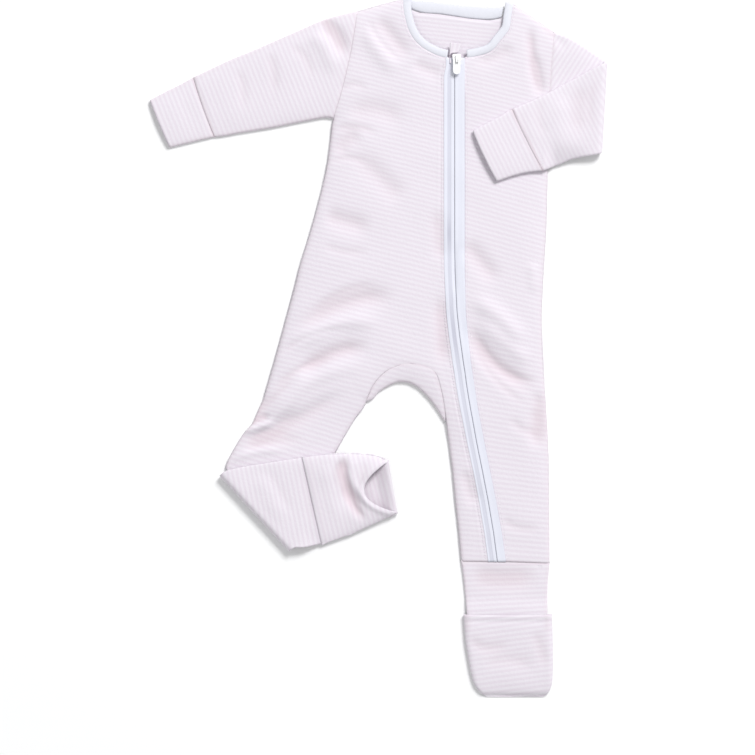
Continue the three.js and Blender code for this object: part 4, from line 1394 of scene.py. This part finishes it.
@dataclass
class Tube:
    """A flattened tube of cloth, such as a sleeve or a cuff.

    Attributes:
        sheet: What it states, its cut all round.
        rows: Its sections.
        stripes: Lay of the pattern.
        fine: Stretches with closer sections.
        half: Points across one layer.
        lift_from: Sections below this y stand on the foot cover's cloth.
        cover: The rows' last column is its height, and its last section closes it.
        mouth: Its last section gapes, as that of the right foot.
        spacing: Distance aimed at between sections.
        tuck: How far its first section reaches in under the cloth that it is sewn to, in mm.
        lip_drop: How far the upper lip of a mouth comes down, in mm.
        lift: How far the cover's cloth lifts it, in mm.
    """

    sheet: Sheet
    rows: Rows
    stripes: Stripes
    fine: Sequence[int] = ()
    half: int = 44
    lift_from: float | None = None
    cover: bool = False
    mouth: bool = False
    spacing: float = 2.0
    tuck: float = 1.6
    lip_drop: float = 5.2
    lift: float = 1.7

    def sections(self) -> Array:
        """Its sections, with the tucked-in one first.

        Returns:
            Rows of the table, closer together.
        """
        dense = hermite(np.array(self.rows, float), self.spacing, self.fine)
        if self.cover:
            return dense
        step = np.hypot(*(dense[1, :2] - dense[0, :2]))
        first = dense[0] - (dense[1] - dense[0]) * (self.tuck / step)
        first[4:6] = dense[0, 4:6]
        return np.concatenate([[first], dense])

    def cover_heights(self, ring: Rings) -> Array:
        """Heights of both layers of a foot cover, with the ridge and furrow of its hem.

        Args:
            ring: The tube's places.

        Returns:
            The heights in mm.
        """
        full = np.repeat(ring.dense[:, 6], len(ring.places) // len(ring.dense))
        mid = full / 2
        turn = round_off(ring.edge_gap / np.maximum(mid * 1.4, 0.2))
        from_hem, _ = nearest(ring.places, ring.dense[0, :4].reshape(2, 2))
        hem = 0.45 * bell((from_hem - 2.2) / 1.8) - 0.6 * bell((from_hem - 6.5) / 1.6)
        waves = LAY.unevenness(ring.places) * smooth(ring.edge_gap / 12) + LAY.wrinkles.at(ring.places)
        return np.where(ring.up, mid + (full + 1.4 * waves + hem - mid) * turn, mid * (1 - turn))

    def heights(self, ring: Rings) -> Array:
        """Heights of both layers.

        Args:
            ring: The tube's places.

        Returns:
            The heights in mm.
        """
        places = ring.places
        full = LAY.top(places) - seam_dip(places)
        turn = round_off(ring.edge_gap / EDGE_TURN)
        low = EDGE_MID * (1 - turn)
        if self.mouth:
            full = full - self.lip_drop * smooth(1 - ring.from_rim(UPPER_BOW) / 15)
            low = low - rim_roll(ring.from_rim(LOWER_BOW)) * turn
        z = np.where(ring.up, EDGE_MID + (full - EDGE_MID) * turn, low)
        tucked = np.arange(len(places)) < len(places) // len(ring.dense)
        z = z + tucked * np.where(ring.up, -0.9, 0.7)
        if self.lift_from is not None:
            z = z + self.lift * smooth((self.lift_from - places[:, 1]) / 14)
        return z

    def shading(self, ring: Rings) -> Array:
        """Painted shade on the tube.

        Args:
            ring: The tube's places.

        Returns:
            Values from 0 to 1.
        """
        total = seam_nearness(ring.places)
        if self.sheet.fold is None:
            return np.maximum(total, shade(ring.places) * ring.up)
        total = np.maximum(total, folded_shade(self.sheet.fold, ring.places, np.where(ring.up, 0.0, 1.0)))
        # Painted shade inside the open foot, under its upper lip
        if self.mouth:
            from_rim = ring.from_rim(LOWER_BOW)
            inside = smooth(1 - from_rim / 24) * smooth(ring.from_rim(UPPER_BOW) / 7)
            total = np.where(ring.up, 0.2 * inside, total * smooth(from_rim / 7))
        return total

    def build(self) -> Object:
        """Makes the piece.

        Returns:
            The piece.
        """
        dense = self.sections()
        shares = rounded_shares(self.half)
        u = np.concatenate([shares, shares[-2:0:-1]])
        upper = np.arange(len(u)) > self.half
        bow = np.where(upper, dense[:, 5:6], dense[:, 4:5])
        places = bowed(dense[:, :2], dense[:, 2:4], u, bow).reshape(-1, 2)
        width = np.hypot(*(dense[:, 2:4] - dense[:, :2]).T)
        edge_gap = (np.minimum(u, 1 - u) * width[:, None]).ravel()
        ring = Rings(dense, places, np.tile(upper, len(dense)), edge_gap)
        heights = self.cover_heights if self.cover else self.heights
        points = np.column_stack([places, heights(ring)])
        faces = grid_faces(len(dense), len(u), closed=True)
        if self.cover:
            faces.append(tuple((len(dense) - 1) * len(u) + j for j in range(len(u))))
        surface = Surface(points, faces, self.stripes.coordinates(places), self.shading(ring))
        return self.sheet.make(surface, ring.up)


@dataclass
class Gusset:
    """The gusset folded over the crotch.

    Attributes:
        sheet: What it states.
        tuck: Share of its width that reaches in under the panels.
    """

    sheet: Sheet
    tuck: float = 0.1

    def build(self) -> Object:
        """Makes the piece.

        Returns:
            The piece.
        """
        dense = hermite(np.array(GUSSET, float), 1.6)
        shares = np.concatenate([[-self.tuck], np.sin(np.pi / 2 * np.linspace(0, 1, 15))])
        u = np.concatenate([shares, shares[-2::-1]])
        places = bowed(dense[:, :2], dense[:, 2:4], u, 0.0).reshape(-1, 2)
        width = np.hypot(*(dense[:, 2:4] - dense[:, :2]).T)
        turn = round_off(((1 - u) * width[:, None]).ravel() / EDGE_TURN)
        up = np.tile(np.arange(len(u)) < len(shares), len(dense))
        tucked = np.tile(u < 0, len(dense))
        high = EDGE_MID + (LAY.top(places) - seam_dip(places) - EDGE_MID) * turn - 0.8 * tucked
        z = np.where(up, high, EDGE_MID * (1 - turn) + 0.6 * tucked)
        points = np.column_stack([places, z])
        faces = grid_faces(len(dense), len(u))
        return self.sheet.make(Surface(points, faces, BODY_STRIPES.coordinates(places), shade(places)), up)


def back_grid() -> Array:
    """Flat places of the back's torso; its first rows follow the neck edge.

    Returns:
        Places, R by C by 2.
    """
    grid = panel_grid(BACK_TORSO, joined(BACK_SPLIT, 60, 56), 3.0)
    neck = np.array(BACK_NECK, float)
    step = np.concatenate([[0], np.cumsum(np.hypot(*(neck[1:] - neck[:-1]).T))])
    first = grid[0].copy()
    share = np.hypot(*(first - first[0]).T) / np.hypot(*(first[-1] - first[0]))
    follow = np.column_stack([np.interp(share * step[-1], step, neck[:, k]) for k in range(2)])
    fade = np.clip(1 - np.arange(len(grid)) / 20, 0, 1)[:, None, None]
    return grid + (follow - first)[None] * fade


def beside(line: Rows, start: float, end: float, count: int, spacing: float = 1.5) -> Array:
    """Places in a strip beside a line.

    Args:
        line: The line.
        start: First offset to the right of its run, in mm.
        end: Last offset.
        count: Places across.
        spacing: Distance aimed at between rows.

    Returns:
        Places, R by count by 2.
    """
    table = np.array([(*p, *p) for p in line], float)
    dense = hermite(table, spacing)[:, :2]
    run = np.gradient(dense, axis=0)
    run = run / np.hypot(*run.T)[:, None]
    right = np.stack([run[:, 1], -run[:, 0]], -1)
    offsets = np.linspace(start, end, count)
    return dense[:, None, :] + right[:, None, :] * offsets[None, :, None]


@dataclass
class Binding:
    """A rounded band of rib sewn along a neck edge.

    Attributes:
        sheet: What it states.
        grid: Flat places of the band.
        low: The band lies on the back, and otherwise on the front.
    """

    sheet: Sheet
    grid: Array
    low: bool = False

    def build(self) -> Object:
        """Makes the piece.

        Returns:
            The piece.
        """
        rows, columns = self.grid.shape[:2]
        places = self.grid.reshape(-1, 2)
        u = np.tile(np.linspace(0, 1, columns), rows)
        bulge = np.sqrt(np.sin(np.pi * np.clip(u, 0.001, 0.999)))
        z = 0.9 + 0.9 * bulge if self.low else LAY.top(places, plain=True) - 0.6 + 1.2 * bulge
        run = np.repeat(np.arange(rows) * 1.5, columns)
        pattern = np.column_stack([u * BAND_WIDTH, run])
        # Painted shade along both edges of the band, where it rounds down to the seams
        seam = 0.25 * bell(np.minimum(u, 1 - u) * BAND_WIDTH / 0.7)
        points = np.column_stack([places, z])
        return self.sheet.make(Surface(points, grid_faces(rows, columns), pattern, seam))


def zip_line(outer: Callable[[float], float], offset: float) -> Array:
    """Points of a line beside the zip, by the x of a tape's outer edge and an offset to +X."""
    heights = map(float, np.linspace(ZIP_TOP - 4, ZIP_END + 1, 80))
    return np.array([(outer(y) + offset, y) for y in heights])


def x_at(line: Rows, y: float) -> float:
    """x of a panel edge, its points downwards, at a height."""
    pts = np.array(line, float)[::-1]
    return float(np.interp(y, pts[:, 1], pts[:, 0]))


@dataclass
class Zip:
    """The zip: two tapes, its teeth, slider, pull and guard.

    Attributes:
        finishes: The finishes.
        nodes: The CAD nodes by name.
        tooth: Size of a tooth in mm.
        pitch: Distance from tooth to tooth in mm.
    """

    finishes: Finishes
    nodes: dict[str, Object]
    tooth: tuple[float, float, float] = (0.8, 0.9, 0.6)
    pitch: float = 1.5

    @staticmethod
    def edges_at(y: float) -> tuple[float, float, float]:
        """The zip at a height.

        Args:
            y: The height.

        Returns:
            Its right edge, middle and left edge.
        """
        right, left = x_at(RIGHT_ZIP_EDGE, y), x_at(LEFT_ZIP_EDGE, y)
        aside = 1.9 * float(smooth(np.array((y + 20) / 120)) * smooth(np.array((256 - y) / 12)))
        return right, (right + left) / 2 - aside, left

    @staticmethod
    def outer_right(y: float) -> float:
        """x of the right tape's outer edge at a height."""
        _, middle, _ = Zip.edges_at(y)
        return middle - 8.2 - 1.4 * float(smooth(np.array((y + 120) / 110)))

    @staticmethod
    def outer_left(y: float) -> float:
        """x of the left tape's outer edge at a height."""
        return Zip.edges_at(y)[2] + 0.3

    def tape(self, node: str, right: bool) -> Object:
        """Makes one tape.

        Args:
            node: CAD node that it replaces.
            right: The tape on the wearer's right.

        Returns:
            The piece.
        """
        rows = []
        for y in map(float, np.linspace(ZIP_TOP, ZIP_END, 230)):
            _, m, _ = self.edges_at(y)
            gap, outer = (-0.12, self.outer_right) if right else (0.12, self.outer_left)
            rows.append((m + gap, y, outer(y), y))
        inner = np.array([r[:2] for r in rows], float)
        grid = panel_grid(rows, np.linspace(0, 1, 30) ** 1.2, 2.0)
        furrow = 1.0 if right else 0.15

        def valley(away: Array) -> Array:
            """Where the tape lies low, between its fold at the teeth and the piped edge."""
            return furrow * smooth((away - 2.6) / 0.9) * smooth((7.0 - away) / 0.9)

        def height(p: Array) -> Array:
            """Height of the tape: it dips at the teeth and lies on the panel at its edge."""
            away, _ = nearest(p, inner)
            return LAY.top(p) + 0.45 - 1.0 * (1 - round_off(away / 0.7)) - 0.3 * valley(away)

        def shading(p: Array) -> Array:
            """Painted shade on the tape: in its valley, in two patches down the zip and beside the teeth.
            """
            away, _ = nearest(p, inner)
            y = p[:, 1]
            # Painted shade in two patches down the zip, added to that in the valley
            painted_shade_patches = bell((y - 104) / 12) + bell((y - 14) / 20)
            return (0.8 + 0.6 * painted_shade_patches) * valley(away) + 0.4 * (1 - smooth(away / 0.8))

        cut = Cut(0.011, 0.455, area=0.0044)
        sheet = Sheet(node, self.finishes.tape, cut, wall=THIN_WALL, slot="zip_tape")
        return Panel(sheet, [grid], height, Slant(((0, 90.0),)), shading=shading).build()

    def teeth(self) -> Object:
        """Makes the teeth, a joined row of small blocks on each side.

        Returns:
            The piece.
        """
        half = np.array(self.tooth) / 2
        centres = []
        for y in np.arange(254.5, ZIP_END, -self.pitch):
            _, m, _ = self.edges_at(float(y))
            for side in (-1, 1):
                centres.append((m + side * 0.45, y + (self.pitch / 2 if side > 0 else 0.0)))
        flat = np.array(centres)
        middle = np.column_stack([flat, LAY.top(flat) - half[2]])
        corner = np.array([(sx, sy, sz) for sx in (-1, 1) for sy in (-1, 1) for sz in (-1, 1)], float)
        points = (middle[:, None] + corner * half).reshape(-1, 3)
        block = ((0, 1, 3, 2), (4, 6, 7, 5), (0, 4, 5, 1), (2, 3, 7, 6), (0, 2, 6, 4), (1, 5, 7, 3))
        piece = mesh_object("zip_teeth", Surface.blocks(points, block), self.finishes.teeth)
        return settle(piece, "zip_chain", "zip_plastic", None)

    def solid(self, name: str, node: str, bevel: float) -> Object:
        """A small hard piece with rounded edges.

        Args:
            name: Name of the piece.
            node: CAD node whose form it takes.
            bevel: Radius of its edges in mm.

        Returns:
            The piece.
        """
        mesh = self.nodes[node].data.copy()
        mesh.materials.clear()
        mesh.materials.append(self.finishes.lacquer)
        piece = add_object(name, mesh)
        edges = piece.modifiers.new("edges", "BEVEL")
        edges.width = bevel * METRE
        edges.segments = 3
        edges.angle_limit = math.radians(40)
        mesh.polygons.foreach_set("use_smooth", np.zeros(len(mesh.polygons), bool))
        return settle(piece, node, "zip_lacquer", None)

    def guard(self) -> Object:
        """Makes the guard behind the zip's top end.

        Returns:
            The piece.
        """
        sheet = Sheet("zip_guard", self.finishes.jersey, Cut(0.011, 0.019, area=0.00011), wall=THIN_WALL)
        grid = panel_grid(GUARD, 9, 0.8)
        return Panel(sheet, [grid], lambda p: LAY.top(p, plain=True) + 0.9, Slant(((0, 80.0),))).build()

    def build(self) -> list[Object]:
        """Makes the zip.

        Returns:
            Its pieces.
        """
        return [
            self.tape("zip_tape_right", True),
            self.tape("zip_tape_left", False),
            self.teeth(),
            self.solid("zip_slider_body", "zip_slider", 0.35),
            self.solid("zip_pull_tab", "zip_pull", 0.25),
            self.guard(),
        ]


def underside(p: Array) -> Array:
    """Height of the cloth's lower side at flat places."""
    return np.zeros(len(p))


# Corners of a stitch: shares of its length, of its thickness sideways and upwards
STITCH: Rows = (
    (-0.5, 0, -0.6), (-0.25, -0.5, 0.1), (0.25, -0.5, 0.1), (0.5, 0, -0.6), (0.25, 0.5, 0.1),
    (-0.25, 0.5, 0.1), (-0.2, 0, 0.6), (0.2, 0, 0.6),
)


@dataclass(frozen=True)
class Sewn:
    """A sewn line.

    Attributes:
        line: Its flat places, N by 2.
        height: Height of the cloth under it.
        fold: The fold that it goes through, with the stitches on the cloth's lower side.
    """

    line: Array
    height: Height
    fold: Fold | None = None


@dataclass
class Stitching:
    """Rows of stitches along seams, joined into one piece.

    Attributes:
        finish: The thread.
        length: Length of a stitch in mm.
        pitch: Distance from stitch to stitch.
        thick: Thickness of the thread.
    """

    finish: Material
    length: float = 1.7
    pitch: float = 2.6
    thick: float = 0.42

    def rows(self) -> list[Sewn]:
        """The sewn lines.

        Returns:
            The lines.
        """
        tack_left = np.array(((253.4, 157.4), (254.0, 168.5)))
        tack_ankle = np.array(((144.5, -193.8), (151.5, -194.2)))
        return [
            Sewn(beside(NECK_RIGHT[:-1], 1.9, 1.9, 1)[:, 0], LAY.top),
            Sewn(beside(NECK_LEFT[:-1], -1.9, -1.9, 1)[:, 0], LAY.top),
            Sewn(zip_line(Zip.outer_right, -HEM_STITCH), LAY.top),
            Sewn(zip_line(Zip.outer_left, HEM_STITCH + 0.4), LAY.top),
            Sewn(tack_left, underside, SLEEVE_FOLD),
            Sewn(tack_left + np.array((1.6, -0.6)), underside, SLEEVE_FOLD),
            Sewn(tack_ankle, LAY.top),
            Sewn(tack_ankle + np.array((0.4, -1.3)), LAY.top),
        ]

    def stitches(self, sewn: Sewn) -> Array:
        """The stitches of one line.

        Args:
            sewn: The line.

        Returns:
            Corners, eight for each stitch, N by 3.
        """
        line = sewn.line
        step = np.concatenate([[0], np.cumsum(np.hypot(*(line[1:] - line[:-1]).T))])
        at = np.arange(self.pitch / 2, step[-1] - self.pitch / 3, self.pitch)
        here = np.column_stack([np.interp(at, step, line[:, k]) for k in range(2)])
        run = np.column_stack([np.interp(at + 0.2, step, line[:, k]) for k in range(2)]) - here
        run = run / np.hypot(*run.T)[:, None]
        side = np.column_stack([-run[:, 1], run[:, 0]])
        level = sewn.height(here)
        up = -1.0 if sewn.fold else 1.0
        corners = []
        for s, t, h in STITCH:
            xy = here + run * (s * self.length) + side * (t * self.thick * up)
            corners.append(np.column_stack([xy, level + up * (0.08 + h * self.thick)]))
        points = np.stack(corners, axis=1).reshape(-1, 3)
        return sewn.fold.apply(points) if sewn.fold else points

    def build(self) -> Object:
        """Makes the stitches.

        Returns:
            The piece.
        """
        body = np.concatenate([self.stitches(sewn) for sewn in self.rows()])
        sides = ((0, 1, 6), (1, 2, 7, 6), (2, 3, 7), (3, 4, 7), (4, 5, 6, 7), (5, 0, 6), (0, 5, 4, 3, 2, 1))
        piece = mesh_object("stitching", Surface.blocks(body, sides), self.finish)
        return settle(piece, "", "jersey", None)


@dataclass
class Garment:
    """The sleepsuit's cloth.

    Attributes:
        finishes: The finishes.
    """

    finishes: Finishes

    def sheet(self, node: str, *cut: float, held: Held = Held.LAID, on: str = "", **more: object) -> Sheet:
        """What a piece of jersey states.

        Args:
            node: CAD node that it replaces.
            cut: Width, length and, where it isn't a rectangle, area of its cut.
            held: How it is held.
            on: Node of the cloth that it lies on.
            more: Its fold and wall.

        Returns:
            The statement.
        """
        rests_on = (f"{on}_cloth",) if on else ()
        return Sheet(node, self.finishes.jersey, Cut(*cut, held=held, rests_on=rests_on), **more)

    def panels(self) -> list[Object]:
        """Makes the body and the legs.

        Returns:
            The pieces.
        """
        hem = zip_line(Zip.outer_right, -HEM_STITCH)

        def hemmed(p: Array) -> Array:
            """Height of the right front, which dips at the stitches beside the zip."""
            d, _ = nearest(p, hem)
            return LAY.top(p) - 0.45 * bell(d / 0.9) + 0.25 * bell(d - HEM_STITCH)

        back = Panel(
            self.sheet("back", 0.3, 0.52, 0.0925, held=Held.FOLDED, fold=LEG_FOLD, wall=1.2),
            [back_grid(), panel_grid(RIGHT_LEG, 61, 3.0, (11,), 2),
             panel_grid(LEFT_LEG_BACK, 57, 3.0, (), 2)],
            underside, BACK_STRIPES, Side.DOWN,
        )
        right = Panel(
            self.sheet("front_right", 0.27, 0.52, 0.0556, held=Held.FOLDED, on="back", fold=LEG_FOLD),
            [panel_grid(FRONT_RIGHT, joined(CROTCH_SPLIT, 44, 14), 2.2, (15,)),
             panel_grid(RIGHT_LEG, 45, 2.2, (11,), 2), panel_grid(INNER_STRIP, 15, 2.2, (), 2)],
            hemmed, BODY_STRIPES, turn_down=True,
        )
        left = Panel(
            self.sheet("front_left", 0.085, 0.51, 0.0305, on="back"), [panel_grid(FRONT_LEFT, 41, 2.0)],
            LAY.top, LEFT_LEG_STRIPES, turn_down=True,
        )
        gusset = Gusset(self.sheet("crotch_gusset", 0.085, 0.05, 0.0029, held=Held.FOLDED))
        return [piece.build() for piece in (back, right, left, gusset)]

    def tubes(self) -> list[Object]:
        """Makes the sleeves, cuffs and foot covers.

        Returns:
            The pieces.
        """
        folded, sheet = Held.FOLDED, self.sheet
        made = [
            Tube(sheet("sleeve_right", 0.2, 0.15, 0.0208), SLEEVE_RIGHT, SLEEVE_RIGHT_STRIPES),
            Tube(sheet("sleeve_left", 0.2, 0.14, 0.0196, held=folded, on="front_left", fold=SLEEVE_FOLD),
                 SLEEVE_LEFT, SLEEVE_LEFT_STRIPES, (3,)),
            Tube(sheet("cuff_right", 0.106, 0.042), CUFF_RIGHT, SLEEVE_RIGHT_STRIPES, half=32),
            Tube(sheet("cuff_left", 0.11, 0.042, on="front_left", fold=SLEEVE_FOLD),
                 CUFF_LEFT, SLEEVE_LEFT_STRIPES, half=32),
            Tube(sheet("leg_cuff_left", 0.152, 0.058), LEG_CUFF_LEFT, CUFF_LEG_STRIPES, lift_from=-222),
            Tube(sheet("leg_cuff_right", 0.135, 0.072, 0.0086, held=folded, fold=LEG_FOLD),
                 LEG_CUFF_RIGHT, COVER_RIGHT_STRIPES, mouth=True),
            Tube(sheet("foot_cover_left", 0.16, 0.074, on="leg_cuff_left"),
                 FOOT_COVER_LEFT, COVER_STRIPES, cover=True),
        ]
        return [tube.build() for tube in made]

    def cover(self) -> Object:
        """Makes the turned-back cover of the right foot.

        Returns:
            The piece.
        """
        start = np.array(FOOT_COVER_RIGHT[0][:4], float).reshape(2, 2)
        mouth = rim(LEG_CUFF_RIGHT[-1], LOWER_BOW)

        def height(p: Array) -> Array:
            """Height of the cover: its edge comes down at the leg and rolls over at the mouth."""
            from_start, from_rim = nearest(p, start)[0], nearest(p, mouth)[0]
            return -(0.35 + 1.05 * round_off(from_start / 5.0)) - rim_roll(from_rim)

        sheet = self.sheet(
            "foot_cover_right", 0.08, 0.075, 0.0048, held=Held.FOLDED, on="leg_cuff_right", fold=LEG_FOLD
        )
        grid = panel_grid(FOOT_COVER_RIGHT, rounded_shares(40), 1.4)
        return Panel(sheet, [grid], height, COVER_RIGHT_STRIPES, Side.DOWN).build()

    def bindings(self) -> list[Object]:
        """Makes the neck binding.

        Returns:
            The pieces.
        """
        right = beside((*NECK_RIGHT[:-1], (63.6, 262.3)), 0.5, -BAND_WIDTH, 16)
        left = beside((*NECK_LEFT[:-1], (81.6, 262.4)), -0.5, BAND_WIDTH, 16)
        bands = (
            ("right", right, Cut(0.01, 0.068, area=0.00055)),
            ("left", left, Cut(0.01, 0.075, area=0.0006)),
            ("back", panel_grid(BACK_BAND, 13, 1.5), Cut(0.011, 0.085)),
        )
        made = []
        for where, grid, cut in bands:
            node = f"neck_binding_{where}"
            rib = Sheet(node, self.finishes.binding, cut, None, 0.9, "rib_binding", "rib")
            made.append(Binding(rib, grid, where == "back").build())
        return made

    def build(self) -> None:
        """Makes all the cloth."""
        self.panels()
        self.tubes()
        self.cover()
        self.bindings()
        Stitching(self.finishes.thread).build()


@dataclass
class Studio:
    """A plain pale floor, soft light and a camera straight above.

    Attributes:
        floor: Paleness of the floor.
        sky: Colour of the light from all round.
        strength: Strength of that light.
        lens: Focal length in mm.
    """

    floor: float = 0.93
    sky: Colour = (0.98, 0.99, 1.0, 1.0)
    strength: float = 0.49
    lens: float = 212.0

    def ground(self) -> None:
        """Lays the floor."""
        bpy.ops.mesh.primitive_plane_add(size=6.0, location=(0, 0, -0.0002))
        floor = bpy.context.object
        floor.name = "floor"
        g = Graph(bpy.data.materials.new("floor"))
        pale = (self.floor, self.floor, self.floor, 1.0)
        g.constants({"Base Color": pale, "Roughness": 0.9, "Specular IOR Level": 0.0})
        floor.data.materials.append(g.material)

    @staticmethod
    def lamp(name: str, place: tuple[float, float, float], size: float, power: float) -> None:
        """Adds a soft area light aimed at the garment.

        Args:
            name: Its name.
            place: Where it is, in metres.
            size: Its side in metres.
            power: Its power in watts.
        """
        data = bpy.data.lights.new(name, "AREA")
        data.energy = power
        data.size = size
        lamp = add_object(name, data)
        lamp.location = place
        lamp.rotation_euler = Vector(place).to_track_quat("Z", "Y").to_euler()

    def lights(self) -> None:
        """Sets the light."""
        self.lamp("key", (2.55, 4.35, 5.0), 2.4, 422.0)
        self.lamp("fill", (-1.6, -1.6, 4.2), 2.8, 22.0)
        world = bpy.data.worlds.new("studio")
        bpy.context.scene.world = world
        world.use_nodes = True
        sky = world.node_tree.nodes["Background"]
        sky.inputs["Color"].default_value = self.sky
        sky.inputs["Strength"].default_value = self.strength
        bpy.context.scene.view_settings.view_transform = "Standard"

    def camera(self) -> None:
        """Sets the camera straight above, with a long lens."""
        data = bpy.data.cameras.new("camera")
        data.lens = self.lens
        data.clip_end = 20.0
        camera = add_object("camera", data)
        camera.location = ((0.9 - MIDDLE[0]) * METRE, (-25.2 - MIDDLE[1]) * METRE, 4.0)
        bpy.context.scene.camera = camera

    def build(self) -> None:
        """Makes the studio."""
        self.ground()
        self.lights()
        self.camera()


def main() -> None:
    """Builds the scene."""
    logging.basicConfig(level=logging.INFO, format="%(message)s")
    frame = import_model()
    finishes = Finishes()
    Garment(finishes).build()
    Zip(finishes, frame["nodes"]).build()
    Studio().build()


if __name__ == "__main__":
    main()
